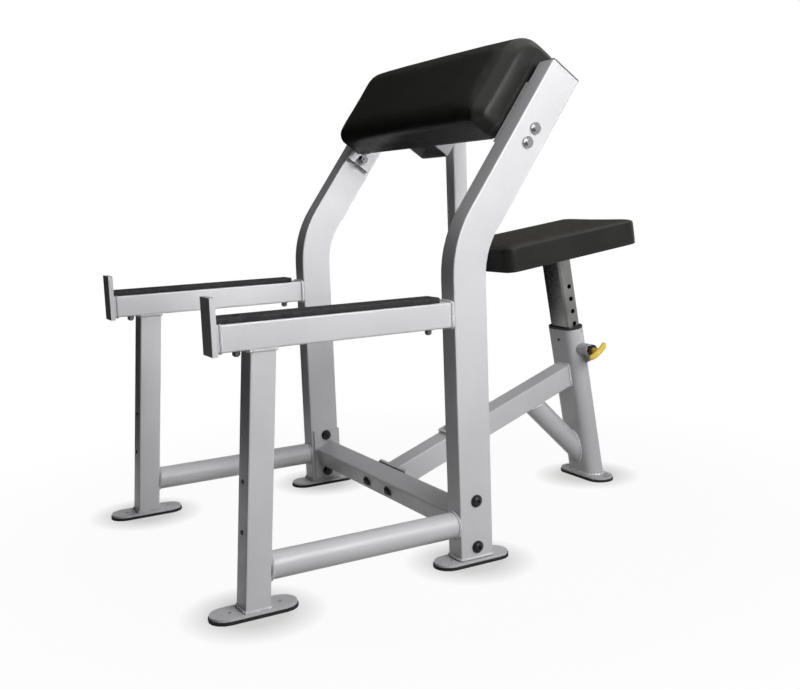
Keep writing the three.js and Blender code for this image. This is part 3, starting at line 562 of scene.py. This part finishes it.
def nut_and_thread(build, origin, axis, across, height, thread):
    """Nut on a seat, with the thread's end standing out of it."""
    corner = across / 2 / math.cos(math.pi / 6)
    cut = rounded_hexagon(across, corner * 0.96)
    spun(build, ((0.001, 0), (cut, 0), (hexagon(across), height * 0.12), (hexagon(across), height * 0.88),
                 (cut, height), (0.001, height)), origin, axis, 48)
    end = thread - SHANK * 0.1
    spun(build, ((0.001, 0), (SHANK / 2, 0), (SHANK / 2, height + end), (SHANK * 0.4, height + thread),
                 (0.001, height + thread)), origin, axis, 24)


def shank(build, origin, axis, radius, length):
    spun(build, ((0.0008, 0), (radius, 0), (radius, length), (0.0008, length)), origin, axis, 20)


GAP = 0.0003
NUT_ACROSS = 0.017
NUT_HEIGHT = 0.008
THREAD = 0.003


def through_bolt(name, node, head, outward, seat, grip, material, slot, washer_radius):
    """A bolt through the frame with washers, a head outside and a nut inside."""
    build = Build()
    seat = Vector(seat)
    outward = Vector(outward)
    top = seat + outward * GAP
    washer(build, top, outward, washer_radius, WASHER_HEIGHT)
    head(build, top + outward * WASHER_HEIGHT, outward)
    shank(build, top, -outward, SHANK / 2 - 0.0001, grip + 2 * GAP)
    under = seat - outward * (grip + GAP)
    washer(build, under, -outward, washer_radius, WASHER_HEIGHT)
    nut_and_thread(build, under - outward * WASHER_HEIGHT, -outward, NUT_ACROSS, NUT_HEIGHT, THREAD)
    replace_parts(build.piece(name, material, FRAME_BODY, slot), node)


def button(build, origin, axis):
    button_head(build, origin, axis, BUTTON_HEAD / 2, BUTTON_HEIGHT)


def flat_hexagon(build, origin, axis):
    """Hexagon head with a flat, chamfered top."""
    corner = FLAT_ACROSS / 2 / math.cos(math.pi / 6)
    edge = rounded_hexagon(FLAT_ACROSS, corner * 0.93)
    spun(build, ((0.001, 0), (hexagon(FLAT_ACROSS), 0), (hexagon(FLAT_ACROSS), FLAT_HEIGHT * 0.86),
                 (edge, FLAT_HEIGHT), (0.001, FLAT_HEIGHT)), origin, axis, 48)


PLATE = 0.006
STOCK = 0.050
for side, sign in SIDES:
    for level in ("low", "high"):
        node = f"frame_bolt_{side}_{level}"
        low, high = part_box(node)
        seat = (sign * OUTER_FACE, (low.y + high.y) / 2, (low.z + high.z) / 2)
        through_bolt(f"button_bolt_{side}_{level}", node, button, (sign, 0, 0), seat, STOCK + PLATE + GAP,
                     black_steel, "black_steel", WASHER / 2)
        node = f"pad_frame_bolt_{side}_{level}"
        low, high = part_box(node)
        seat = (sign * (OUTER_FACE + GAP), (low.y + high.y) / 2, (low.z + high.z) / 2)
        through_bolt(f"hex_bolt_{side}_{level}", node, flat_hexagon, (sign, 0, 0), seat, STOCK + PLATE + 2 * GAP,
                     chrome, "chrome", 0.012)

# Short bolts through the spine's plate and the middle post's foot
SPINE_BOLT_X = 0.051
CROSSMEMBER_HALF = 0.025
SPINE_BOLT_REACH = 0.0593
for side, sign in SIDES:
    build = Build()
    seat = climb @ Vector((sign * SPINE_BOLT_X, -CROSSMEMBER_HALF, 0))
    outward = climb.to_3x3() @ Vector((0, -1, 0))
    washer(build, seat + outward * GAP, outward, WASHER / 2, WASHER_HEIGHT)
    button(build, seat + outward * (GAP + WASHER_HEIGHT), outward)
    shank(build, seat + outward * GAP, -outward, SHANK / 2, SPINE_BOLT_REACH)
    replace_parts(build.piece(f"spine_button_bolt_{side}", black_steel, FRAME_BODY, "black_steel"), f"spine_bolt_{side}")

POST_BOLTS = (("front", 0.1996), ("rear", 0.2846))
POST_BOLT_HEIGHT = 0.0333
POST_BOLT_REACH = 0.020
for row, along in POST_BOLTS:
    build = Build()
    seat = climb @ Vector((0, along, POST_BOLT_HEIGHT))
    outward = climb.to_3x3() @ Vector((0, 0, 1))
    button_head(build, seat + outward * GAP, outward, BUTTON_HEAD / 2, BUTTON_HEIGHT + WASHER_HEIGHT)
    shank(build, seat + outward * GAP, -outward, SHANK / 2, POST_BOLT_REACH)
    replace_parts(build.piece(f"post_button_bolt_{row}", black_steel, FRAME_BODY, "black_steel"),
                f"middle_post_bolt_{row}")

# Bolts of the rubber strips: flat heads sunk in the rubber, flanged nuts under the rails
STRIP_SEAT = 0.535
RAIL_BOTTOM = 0.481
for side, sign in SIDES:
    for row in ("front", "rear"):
        node = f"strip_bolt_{side}_{row}"
        low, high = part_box(node)
        middle = Vector((sign * HALF_TRACK, (low.y + high.y) / 2, 0))
        up = Vector((0, 0, 1))
        build = Build()
        top = middle + up * (STRIP_SEAT + GAP)
        button_head(build, top, up, 0.0075, 0.0055)
        shank(build, top, -up, 0.004, STRIP_SEAT - RAIL_BOTTOM + GAP)
        under = middle + up * (RAIL_BOTTOM - GAP)
        washer(build, under, -up, 0.010, 0.002)
        nut_and_thread(build, under - up * 0.002, -up, 0.013, 0.007, 0.0025)
        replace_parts(build.piece(f"strip_screw_{side}_{row}", dark_zinc, FRAME_BODY, "zinc"), node)


# Small parts: plugs in the front legs, screws of the sleeve, the seat and the arm pad

LEG_HALF = 0.025
PLUG_HEIGHTS = (0.1405, 0.2325)
PLUG_RADIUS = 0.0046
for side, sign in SIDES:
    build = Build()
    for height in PLUG_HEIGHTS:
        seat = leg @ Vector((sign * HALF_TRACK, -LEG_HALF, height))
        outward = leg.to_3x3() @ Vector((0, -1, 0))
        spun(build, ((0.0007, -0.006), (0.0022, -0.006), (0.0023, 0.0), (PLUG_RADIUS, 0.0001), (PLUG_RADIUS, 0.0008),
                     (PLUG_RADIUS * 0.86, 0.0018), (PLUG_RADIUS * 0.5, 0.0025), (0.0006, 0.0028)), seat, outward)
    build.piece(f"leg_plugs_{side}", black_plastic, FRAME_BODY, "black_plastic")

TUBE_HALF_DEPTH = 0.0255
SLEEVE_SCREW_HEIGHT = 0.3717
build = Build()
for sign in (-1, 1):
    seat = riser @ Vector((0, sign * TUBE_HALF_DEPTH, SLEEVE_SCREW_HEIGHT))
    outward = riser.to_3x3() @ Vector((0, sign, 0))
    spun(build, ((0.0008, -0.004), (0.0025, -0.004), (0.0026, 0.0002), (0.0038, 0.0003), (0.0037, 0.0010),
                 (0.0030, 0.0018), (0.0018, 0.0022), (0.0006, 0.0023)), seat, outward)
build.piece("sleeve_screws", black_plastic, FRAME_BODY, "black_plastic")

SEAT_SCREWS = [(x, 0.03897 + y) for x in (-0.050, 0.050) for y in (-0.080, 0.080)]
SEAT_PLATE_UNDER = -0.0063
build = Build()
for x, y in SEAT_SCREWS:
    seat = saddle @ Vector((x, y, SEAT_PLATE_UNDER))
    outward = saddle.to_3x3() @ Vector((0, 0, -1))
    washer(build, seat, outward, 0.0085, 0.0012)
    hex_head(build, seat + outward * 0.0012, outward, 0.010, 0.0042)
    shank(build, seat, -outward, 0.003, 0.0065)
build.piece("seat_screws", zinc, SEAT_BODY, "zinc")

PAD_SCREW_X = (-0.250, -0.110, 0.110, 0.250)
PAD_SCREW_ALONG = -0.090
CROSSBAR_BACK = -0.0423
build = Build()
for x in PAD_SCREW_X:
    seat = slope @ Vector((x, PAD_SCREW_ALONG, CROSSBAR_BACK))
    outward = slope.to_3x3() @ Vector((0, 0, -1))
    washer(build, seat, outward, 0.0085, 0.0012)
    hex_head(build, seat + outward * 0.0012, outward, 0.010, 0.0042)
    shank(build, seat, -outward, 0.003, 0.030)
build.piece("arm_pad_screws", zinc, FRAME_BODY, "zinc")


# The pull pin's spring, copied with a mesh of its own (the real spring shortens as the pin is pulled)
coil = bpy.data.objects.new("pull_pin_spring", nodes["pin_spring"].data.copy())
coil.data.name = coil.name
coil.matrix_world = nodes["pin_spring"].matrix_world.copy()
scene.collection.objects.link(coil)
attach(coil, FRAME_BODY)
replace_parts(coil, "pin_spring")
low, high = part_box("pin_spring")
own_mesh(coil)


# Black end caps in the uprights' tops, with a thin flange over the tube
CAP_PROUD = 0.0004
CAP_FLANGE = 0.0022
for side, _ in SIDES:
    up = slope.to_3x3() @ Vector((0, 1, 0))
    centre, normal = end_plane(f"upright_{side}", up)
    outline = even_loop(section(f"upright_{side}", centre - normal * CAP_FLANGE, normal), 0.002)
    middle = sum(outline, Vector()) / len(outline)

    def ring(grow, rise):
        return [point + (point - middle).normalized() * grow + normal * (CAP_FLANGE + rise) for point in outline]

    build = Build()
    build.rings([ring(CAP_PROUD * 0.4, -CAP_FLANGE), ring(CAP_PROUD, -CAP_FLANGE * 0.9), ring(CAP_PROUD, -CAP_PROUD),
                 ring(-CAP_PROUD, CAP_PROUD * 1.4), ring(-CAP_PROUD * 5, CAP_PROUD * 2)])
    build.piece(f"upright_end_cap_{side}", black_plastic, FRAME_BODY, "black_plastic")


# Cushions


def rounded_outline(half_x, half_y, radius, steps=10):
    points = []
    for quarter, (sx, sy) in enumerate(((1, 1), (-1, 1), (-1, -1), (1, -1))):
        for step in range(steps + 1):
            angle = (quarter + step / steps) * math.pi / 2
            points.append((sx * (half_x - radius) + radius * math.cos(angle),
                           sy * (half_y - radius) + radius * math.sin(angle)))
    return points


SWELL_EASE = 14


def eased(mesh, amounts, held, rounds):
    """Evens out how far neighbouring points of a mesh move, which takes out small dents."""
    near = [[] for _ in amounts]
    for edge in mesh.edges:
        first, second = edge.vertices
        near[first].append(second)
        near[second].append(first)
    fixed = set(held)
    amounts = [0.0 if index in fixed else amount for index, amount in enumerate(amounts)]
    for _ in range(rounds):
        amounts = [0.0 if index in fixed else (amount + sum(amounts[k] for k in near[index])) / (len(near[index]) + 1)
                   for index, amount in enumerate(amounts)]
    return amounts


def swell(obj, matrix, pinned, cap, pressure, voxel):
    """Remeshes a closed form, blows it up as cloth, limits how far it moves and smooths it."""
    bpy.context.view_layer.objects.active = obj
    obj.select_set(True)
    obj.data.remesh_voxel_size = voxel
    bpy.ops.object.voxel_remesh()
    start = [vertex.co.copy() for vertex in obj.data.vertices]
    normals = [vertex.normal.copy() for vertex in obj.data.vertices]
    inverse = matrix.inverted()
    held = [index for index, co in enumerate(start) if pinned(inverse @ co)]
    group = obj.vertex_groups.new(name="held")
    group.add(held, 1.0, "REPLACE")
    cloth = obj.modifiers.new("swell", "CLOTH")
    settings = cloth.settings
    settings.quality = 6
    settings.mass = 0.25
    settings.tension_stiffness = 18
    settings.compression_stiffness = 18
    settings.shear_stiffness = 10
    settings.bending_stiffness = 0.8
    settings.use_pressure = True
    settings.uniform_pressure_force = pressure
    settings.vertex_group_mass = group.name
    settings.effector_weights.gravity = 0
    cloth.collision_settings.use_collision = False
    cloth.point_cache.frame_start = 1
    cloth.point_cache.frame_end = 20
    for step in range(1, 21):
        scene.frame_set(step)
    evaluated = obj.evaluated_get(bpy.context.evaluated_depsgraph_get())
    moved = [vertex.co.copy() for vertex in evaluated.data.vertices]
    obj.modifiers.remove(cloth)
    scene.frame_set(1)
    swollen = [min(max((after - before).dot(normal), 0.0), cap) for before, after, normal in zip(start, moved, normals)]
    swollen = eased(obj.data, swollen, held, SWELL_EASE)
    for vertex, before, normal, amount in zip(obj.data.vertices, start, normals, swollen):
        vertex.co = before + normal * amount
    obj.vertex_groups.clear()
    obj.select_set(False)
    return start, swollen


def carried(obj, start, amounts, reach=3):
    """Swells a finished cover by what the nearest points of the blown-up block have swollen."""
    tree = KDTree(len(start))
    for index, place in enumerate(start):
        tree.insert(place, index)
    tree.balance()
    normals = [vertex.normal.copy() for vertex in obj.data.vertices]
    for vertex, normal in zip(obj.data.vertices, normals):
        found = tree.find_n(vertex.co, reach)
        weights = [1 / (distance + 1e-4) for _, _, distance in found]
        amount = sum(weight * amounts[index] for weight, (_, index, _) in zip(weights, found)) / sum(weights)
        vertex.co += normal * amount


def subdivided(obj, levels=1):
    modifier = obj.modifiers.new("fine", "SUBSURF")
    modifier.levels = levels
    modifier.render_levels = levels
    evaluated = obj.evaluated_get(bpy.context.evaluated_depsgraph_get())
    mesh = bpy.data.meshes.new_from_object(evaluated)
    obj.modifiers.remove(modifier)
    mesh.name = obj.name
    obj.data = mesh


def soft_body(name, vertices, faces, material):
    mesh = bpy.data.meshes.new(name)
    mesh.from_pydata([tuple(vertex) for vertex in vertices], [], faces)
    work = bmesh.new()
    work.from_mesh(mesh)
    bmesh.ops.remove_doubles(work, verts=work.verts, dist=1e-6)
    bmesh.ops.recalc_face_normals(work, faces=work.faces)
    bmesh.ops.triangulate(work, faces=[face for face in work.faces if len(face.verts) > 4])
    work.to_mesh(mesh)
    work.free()
    obj = bpy.data.objects.new(name, mesh)
    scene.collection.objects.link(obj)
    mesh.materials.append(material)
    return obj


def finish_soft(obj, material, body, node):
    obj.data.materials.clear()
    obj.data.materials.append(material)
    for polygon in obj.data.polygons:
        polygon.use_smooth = True
    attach(obj, body)
    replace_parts(obj, node)


def groove(obj, matrix, distance, width, depth):
    """Presses a seam into a soft mesh where a distance function is near zero."""
    inverse = matrix.inverted()
    normals = [vertex.normal.copy() for vertex in obj.data.vertices]
    for vertex, normal in zip(obj.data.vertices, normals):
        away = distance(inverse @ vertex.co)
        if away is not None and abs(away) < 3 * width:
            vertex.co -= normal * depth * math.exp(-(away / width) ** 2)


SEAT_HALF_X = 0.1385
SEAT_HALF_Y = 0.193
SEAT_CORNER = 0.028
SEAT_BASE = 0.0123
SEAT_SEAM = 0.044
SEAT_HEM = -0.0065
# Insets from the outline and heights over the board: the block that is blown up, and the finished cover,
# which wraps round the board's edge and has its seam high on the sides
SEAT_BLOCK = ((0.006, 0.0), (0.001, 0.003), (0.0, 0.012), (0.0, 0.038), (0.003, 0.044), (0.020, 0.0485),
              (0.050, 0.0505), (0.100, 0.0515))
SEAT_COVER = ((0.0036, 0.0), (0.0036, -0.0116), (0.0016, -0.0119), (0.0004, -0.0112), (0.0, -0.009), (0.0, -0.0072),
              (0.0, -0.0055), (0.0, -0.003),
              (0.0, 0.004), (0.0, 0.011), (0.0, 0.018), (0.0, 0.025), (0.0001, 0.031), (0.0003, 0.036),
              (0.0007, 0.0395), (0.0013, 0.0415), (0.0021, 0.0428), (0.0030, 0.0436), (0.0040, 0.0440),
              (0.0052, 0.0442), (0.0072, 0.0449), (0.0100, 0.0457), (0.0150, 0.0468), (0.0220, 0.0480))
SEAT_CROWN = ((0.90, 0.0488), (0.82, 0.0496), (0.74, 0.0502), (0.66, 0.0507), (0.58, 0.0510), (0.50, 0.0513),
              (0.42, 0.0515), (0.34, 0.0517), (0.26, 0.0518), (0.18, 0.0519), (0.10, 0.0520), (0.03, 0.0520))
COVER_STEP = 0.005


def seat_outline(inset):
    corner = max(SEAT_CORNER - inset * 0.6, 0.010)
    return rounded_outline(SEAT_HALF_X - inset, SEAT_HALF_Y - inset, corner)


def seat_block():
    """Plain block that is blown up to find how far each place of the seat swells."""
    build = Build()
    build.rings([[saddle @ Vector((x, y, SEAT_BASE + height)) for x, y in seat_outline(inset)]
                 for inset, height in SEAT_BLOCK])
    return soft_body("seat_block", build.vertices, build.faces, vinyl)


def seat_cover():
    """The seat's cover as rings of evenly spaced points from the board's edge to the middle of the top."""
    build = Build()
    outer = even_loop([Vector((x, y, 0)) for x, y in seat_outline(0)], COVER_STEP)
    rings = []
    for inset, height in SEAT_COVER:
        shrunk = []
        for point in outer:
            core = Vector((max(min(point.x, SEAT_HALF_X - SEAT_CORNER), SEAT_CORNER - SEAT_HALF_X),
                           max(min(point.y, SEAT_HALF_Y - SEAT_CORNER), SEAT_CORNER - SEAT_HALF_Y), 0))
            outward = (point - core).normalized()
            shrunk.append(point - outward * inset)
        rings.append([saddle @ Vector((place.x, place.y, SEAT_BASE + height)) for place in shrunk])
        last = shrunk
    for share, height in SEAT_CROWN:
        rings.append([saddle @ Vector((place.x * share, place.y * share, SEAT_BASE + height)) for place in last])
    build.rings(rings)
    return soft_body("seat_pad", build.vertices, build.faces, vinyl)


def arm_pad_form():
    """Copy of the arm pad's CAD form, as a start for the cloth."""
    obj = nodes["arm_pad_cushion"].copy()
    obj.data = nodes["arm_pad_cushion"].data.copy()
    for key in list(obj.keys()):
        del obj[key]
    obj.name = "arm_pad"
    obj.data.name = "arm_pad"
    obj.parent = None
    scene.collection.objects.link(obj)
    work = bmesh.new()
    work.from_mesh(obj.data)
    bmesh.ops.remove_doubles(work, verts=work.verts, dist=1e-6)
    work.to_mesh(obj.data)
    work.free()
    return obj


PAD_SEAM_X = 0.299
PAD_HALF_X = 0.319
# How far the side panels lie under a plain round edge, at shares of the way from the seam to the end
PAD_PANEL = ((0.0, 0.0), (0.12, 0.0022), (0.30, 0.0042), (0.55, 0.0048), (0.80, 0.0028), (1.0, 0.0))


def between(table, place):
    """Straight interpolation in a table of places and values."""
    for (start, first), (end, second) in zip(table, table[1:]):
        if place <= end:
            return first + (second - first) * (place - start) / (end - start)
    return table[-1][1]


def panelled(obj, matrix):
    """Draws the arm pad's side panels in from the seams, which leaves a crisp edge there."""
    inverse = matrix.inverted()
    turn = matrix.to_3x3()
    back = turn.inverted()
    normals = [vertex.normal.copy() for vertex in obj.data.vertices]
    for vertex, normal in zip(obj.data.vertices, normals):
        place = inverse @ vertex.co
        way = (abs(place.x) - PAD_SEAM_X) / (PAD_HALF_X - PAD_SEAM_X)
        across = back @ normal
        across.x = 0
        if 0 < way < 1 and across.length > 0.1 and not held_on_board(place):
            vertex.co -= turn @ across.normalized() * between(PAD_PANEL, way) * min(across.length * 2, 1)


BOARD_FRONT = 0.0033
BOARD_BACK = -0.0123
BOARD_HIGH = 0.0063
ROLL_LIP = -0.010
PAD_FLAT_X = 0.3155


def held_on_board(place):
    return (place.z < BOARD_FRONT + 0.004 and place.y < BOARD_HIGH + 0.004 and place.z > BOARD_BACK - 0.004) or (
        place.y < ROLL_LIP + 0.004 and place.z < BOARD_FRONT) or (
        abs(place.x) > PAD_FLAT_X and place.z < BOARD_FRONT + 0.006)


WRAP_THICK = 0.0032
WRAP_LOW = -0.1776
WRAP_HIGH = 0.0120
WRAP_SIDE = 0.3191
WRAP_TOP = 0.0105
WRAP_CORNER = 0.0256
BOARD_HALF_X = 0.3154
BOARD_CORNER = 0.0216


WRAP_LIFT = 0.0002


def arm_pad_wrap():
    """The vinyl that is drawn round the edges of the arm pad's board, with a filled corner at each high end."""
    path = [Vector((WRAP_SIDE, WRAP_HIGH, 0))]
    for step in range(13):
        angle = -math.pi / 2 * step / 12
        path.append(Vector((WRAP_SIDE - WRAP_CORNER * (1 - math.cos(angle)),
                            WRAP_LOW + WRAP_CORNER * (1 + math.sin(angle)), 0)))
    path += [Vector((-point.x, point.y, 0)) for point in reversed(path)]
    edge = WRAP_THICK * 0.25
    tall, deep = BOARD_FRONT, BOARD_BACK
    section = ((0.0004, deep + edge), (0.0001, deep * 0.4), (0, tall), (0.0003, tall * 2), (0.0012, WRAP_TOP),
               (WRAP_THICK, WRAP_TOP - edge), (WRAP_THICK, deep + edge), (WRAP_THICK - edge, deep), (edge, deep))
    build = Build()
    rings = []
    for index, point in enumerate(path):
        along = (path[min(index + 1, len(path) - 1)] - path[max(index - 1, 0)]).normalized()
        inward = Vector((along.y, -along.x, 0))
        if inward.dot(Vector((0, -0.08, 0)) - point) < 0:
            inward = -inward
        rings.append([slope @ (point + inward * way + Vector((0, 0, height))) for way, height in section])
    build.rings(rings)
    for sign in (-1, 1):
        corner = [Vector((sign * (BOARD_HALF_X + WRAP_LIFT), BOARD_HIGH - WRAP_LIFT, 0))]
        for step in range(9):
            angle = math.pi / 2 * step / 8
            corner.append(Vector((sign * (BOARD_HALF_X + WRAP_LIFT - BOARD_CORNER * (1 - math.cos(angle))),
                                  BOARD_HIGH - WRAP_LIFT - BOARD_CORNER * (1 - math.sin(angle)), 0)))
        heights = (deep, tall - WRAP_LIFT)
        build.rings([[slope @ (point + Vector((0, 0, height))) for point in corner] for height in heights])
    return build.piece("arm_pad_wrap", vinyl, FRAME_BODY, "vinyl")


seat_pad = seat_cover()
arm_pad = arm_pad_form()
block = seat_block()
swollen = swell(block, saddle, lambda place: place.z < SEAT_BASE + 0.004, 0.0012, 4.0, 0.005)
carried(seat_pad, *swollen)
bpy.data.objects.remove(block)
swell(arm_pad, slope, held_on_board, 0.0045, 4.0, 0.005)
subdivided(arm_pad)
panelled(arm_pad, slope)
groove(arm_pad, slope, lambda place: abs(place.x) - PAD_SEAM_X, 0.0016, 0.0010)
subdivided(seat_pad)
groove(seat_pad, saddle, lambda place: place.z - SEAT_BASE - SEAT_SEAM if place.x ** 2 > 0.13 ** 2 or place.y ** 2 >
       0.184 ** 2 else None, 0.0010, 0.0010)
groove(seat_pad, saddle, lambda place: place.z - SEAT_BASE - SEAT_HEM, 0.0008, 0.0008)
finish_soft(seat_pad, vinyl, SEAT_BODY, "seat_cushion")
finish_soft(arm_pad, vinyl, FRAME_BODY, "arm_pad_cushion")
arm_pad_wrap()


# Floor, light and camera

FLOOR_HALF = 14.0
FLOOR_GLOW = 0.96
FLOOR_FADE = (0.7, 1.3)
# Painted contact shade: near each foot the floor glows less, so its dark grey diffuse colour shows as a grey disc, with
# the real cast shadow inside it.
PAINTED_FOOT_SHADE_GLOW = 0.55
PAINTED_FOOT_SHADE_FADE = (0.06, 0.145)
FEET = [(x, y) for x in (-HALF_TRACK, HALF_TRACK) for y in (-0.5138, -0.0466)] + [(0, 0.5415)]


def floor_material():
    look = Look("floor", 0.9)
    look.color(look.ramp(look.noise(1.5, 3.0), ((0.3, (0.21, 0.2, 0.19)), (0.7, (0.225, 0.215, 0.205)))))
    output = look.tree.nodes["Material Output"]
    glow = look.new("ShaderNodeEmission")
    glow.inputs["Color"].default_value = (1, 1, 1, 1)
    glow.inputs["Strength"].default_value = 1.0
    rays = look.new("ShaderNodeLightPath")
    seen = look.new("ShaderNodeMath", operation="MAXIMUM")
    look.link(rays.outputs["Is Camera Ray"], seen.inputs[0])
    look.link(rays.outputs["Is Glossy Ray"], seen.inputs[1])
    away = look.new("ShaderNodeVectorMath", operation="LENGTH")
    look.link(look.coords, away.inputs[0])
    fade = look.spread(away.outputs["Value"], FLOOR_FADE[0], FLOOR_FADE[1], FLOOR_GLOW, 1.0)
    for foot in FEET:
        reach = look.new("ShaderNodeVectorMath", operation="DISTANCE")
        look.link(look.coords, reach.inputs[0])
        reach.inputs[1].default_value = (*foot, 0)
        # Painted shade round this foot: the glow drops towards it.
        near = look.spread(reach.outputs["Value"], PAINTED_FOOT_SHADE_FADE[0], PAINTED_FOOT_SHADE_FADE[1], PAINTED_FOOT_SHADE_GLOW, 1.0)
        least = look.new("ShaderNodeMath", operation="MINIMUM")
        look.link(fade, least.inputs[0])
        look.link(near, least.inputs[1])
        fade = least.outputs["Value"]
    share = look.new("ShaderNodeMath", operation="MULTIPLY")
    look.link(fade, share.inputs[1])
    look.link(seen.outputs["Value"], share.inputs[0])
    blend = look.new("ShaderNodeMixShader")
    look.link(share.outputs["Value"], blend.inputs["Fac"])
    look.link(look.shader.outputs["BSDF"], blend.inputs[1])
    look.link(glow.outputs["Emission"], blend.inputs[2])
    look.link(blend.outputs["Shader"], output.inputs["Surface"])
    return look.material


def stage_plane(name, corners, material):
    mesh = bpy.data.meshes.new(name)
    mesh.from_pydata(corners, [], [(0, 1, 2, 3)])
    mesh.materials.append(material)
    obj = bpy.data.objects.new(name, mesh)
    scene.collection.objects.link(obj)
    return obj


stage_plane("floor", [(-FLOOR_HALF, -FLOOR_HALF, 0), (FLOOR_HALF, -FLOOR_HALF, 0), (FLOOR_HALF, FLOOR_HALF, 0),
                      (-FLOOR_HALF, FLOOR_HALF, 0)], floor_material())

world = bpy.data.worlds.new("studio")
scene.world = world
world.use_nodes = True
tree = world.node_tree
background = tree.nodes["Background"]
rays = tree.nodes.new("ShaderNodeLightPath")


def maximum(first, second):
    node = tree.nodes.new("ShaderNodeMath")
    node.operation = "MAXIMUM"
    tree.links.new(first, node.inputs[0])
    tree.links.new(second, node.inputs[1])
    return node.outputs["Value"]


AMBIENT = 0.06
seen = maximum(maximum(rays.outputs["Is Camera Ray"], rays.outputs["Is Glossy Ray"]),
               rays.outputs["Is Transmission Ray"])
level = tree.nodes.new("ShaderNodeMapRange")
level.inputs["To Min"].default_value = AMBIENT
level.inputs["To Max"].default_value = 1.0
tree.links.new(seen, level.inputs["Value"])
tree.links.new(level.outputs["Result"], background.inputs["Strength"])
background.inputs["Color"].default_value = (1, 1, 1, 1)


def area_light(name, place, target, size, power, color=(1, 1, 1)):
    data = bpy.data.lights.new(name, "AREA")
    data.shape = "RECTANGLE"
    data.size, data.size_y = size
    data.energy = power
    data.color = color
    obj = bpy.data.objects.new(name, data)
    obj.location = place
    obj.rotation_euler = (Vector(target) - Vector(place)).to_track_quat("-Z", "Y").to_euler()
    obj.visible_camera = False
    scene.collection.objects.link(obj)
    return obj


def flag(name, corners):
    """A black card that keeps stray light away. The camera doesn't see it."""
    look = Look(name, 0.9, specular=0.1)
    look.color(look.ramp(look.noise(3.0), ((0.3, (0.008, 0.008, 0.008)), (0.7, (0.012, 0.012, 0.012)))))
    card = stage_plane(name, corners, look.material)
    card.visible_camera = False
    return card


flag("flag_front", [(-2.3, -1.9, 0.0), (3.4, -1.9, 0.0), (3.4, -1.9, 2.6), (-2.3, -1.9, 2.6)])
side_flag = flag("flag_side", [(-1.05, -1.9, 0.0), (-1.05, 2.4, 0.0), (-1.05, 2.4, 2.4), (-1.05, -1.9, 2.4)])
side_flag.visible_shadow = False
area_light("key", (2.0, 0.12, 1.4), (0, 0.0, 0.6), (1.1, 1.0), 40, (0.99, 0.985, 1.0))
side = area_light("side", (2.3, 1.9, 1.75), (0.15, 0.02, 0.85), (0.9, 0.8), 1.65, (0.99, 0.985, 1.0))
side.data.spread = math.radians(32)
side.visible_glossy = False
rim = area_light("rim", (0.35, 1.1, 1.35), (-0.35, 0.0, 0.72), (0.3, 0.3), 1.2, (0.99, 0.985, 1.0))
rim.data.spread = math.radians(32)
rim.visible_glossy = False
fill = area_light("fill", (-1.9, 0.55, 1.15), (0, 0.0, 0.55), (1.2, 1.0), 30, (1.0, 0.99, 0.98))
fill.visible_glossy = False
area_light("top", (0.4, 0.0, 2.8), (0, 0, 0.0), (1.8, 1.8), 12)

CAMERA_PLACE = (2.03615, -1.11406, 0.73766)
CAMERA_RIGHT = (0.48542, 0.87351, -0.03670)
CAMERA_UP = (-0.10911, 0.10218, 0.98876)
CAMERA_AHEAD = (-0.86744, 0.47597, -0.14490)
camera_data = bpy.data.cameras.new("camera")
camera_data.lens = 46.03
camera_data.sensor_width = 36.0
camera = bpy.data.objects.new("camera", camera_data)
columns = (CAMERA_RIGHT, CAMERA_UP, tuple(-value for value in CAMERA_AHEAD))
turned = Matrix([[column[row] for column in columns] for row in range(3)]).to_4x4()
camera.matrix_world = Matrix.Translation(CAMERA_PLACE) @ turned
scene.collection.objects.link(camera)
scene.camera = camera
scene.view_settings.view_transform = "Standard"
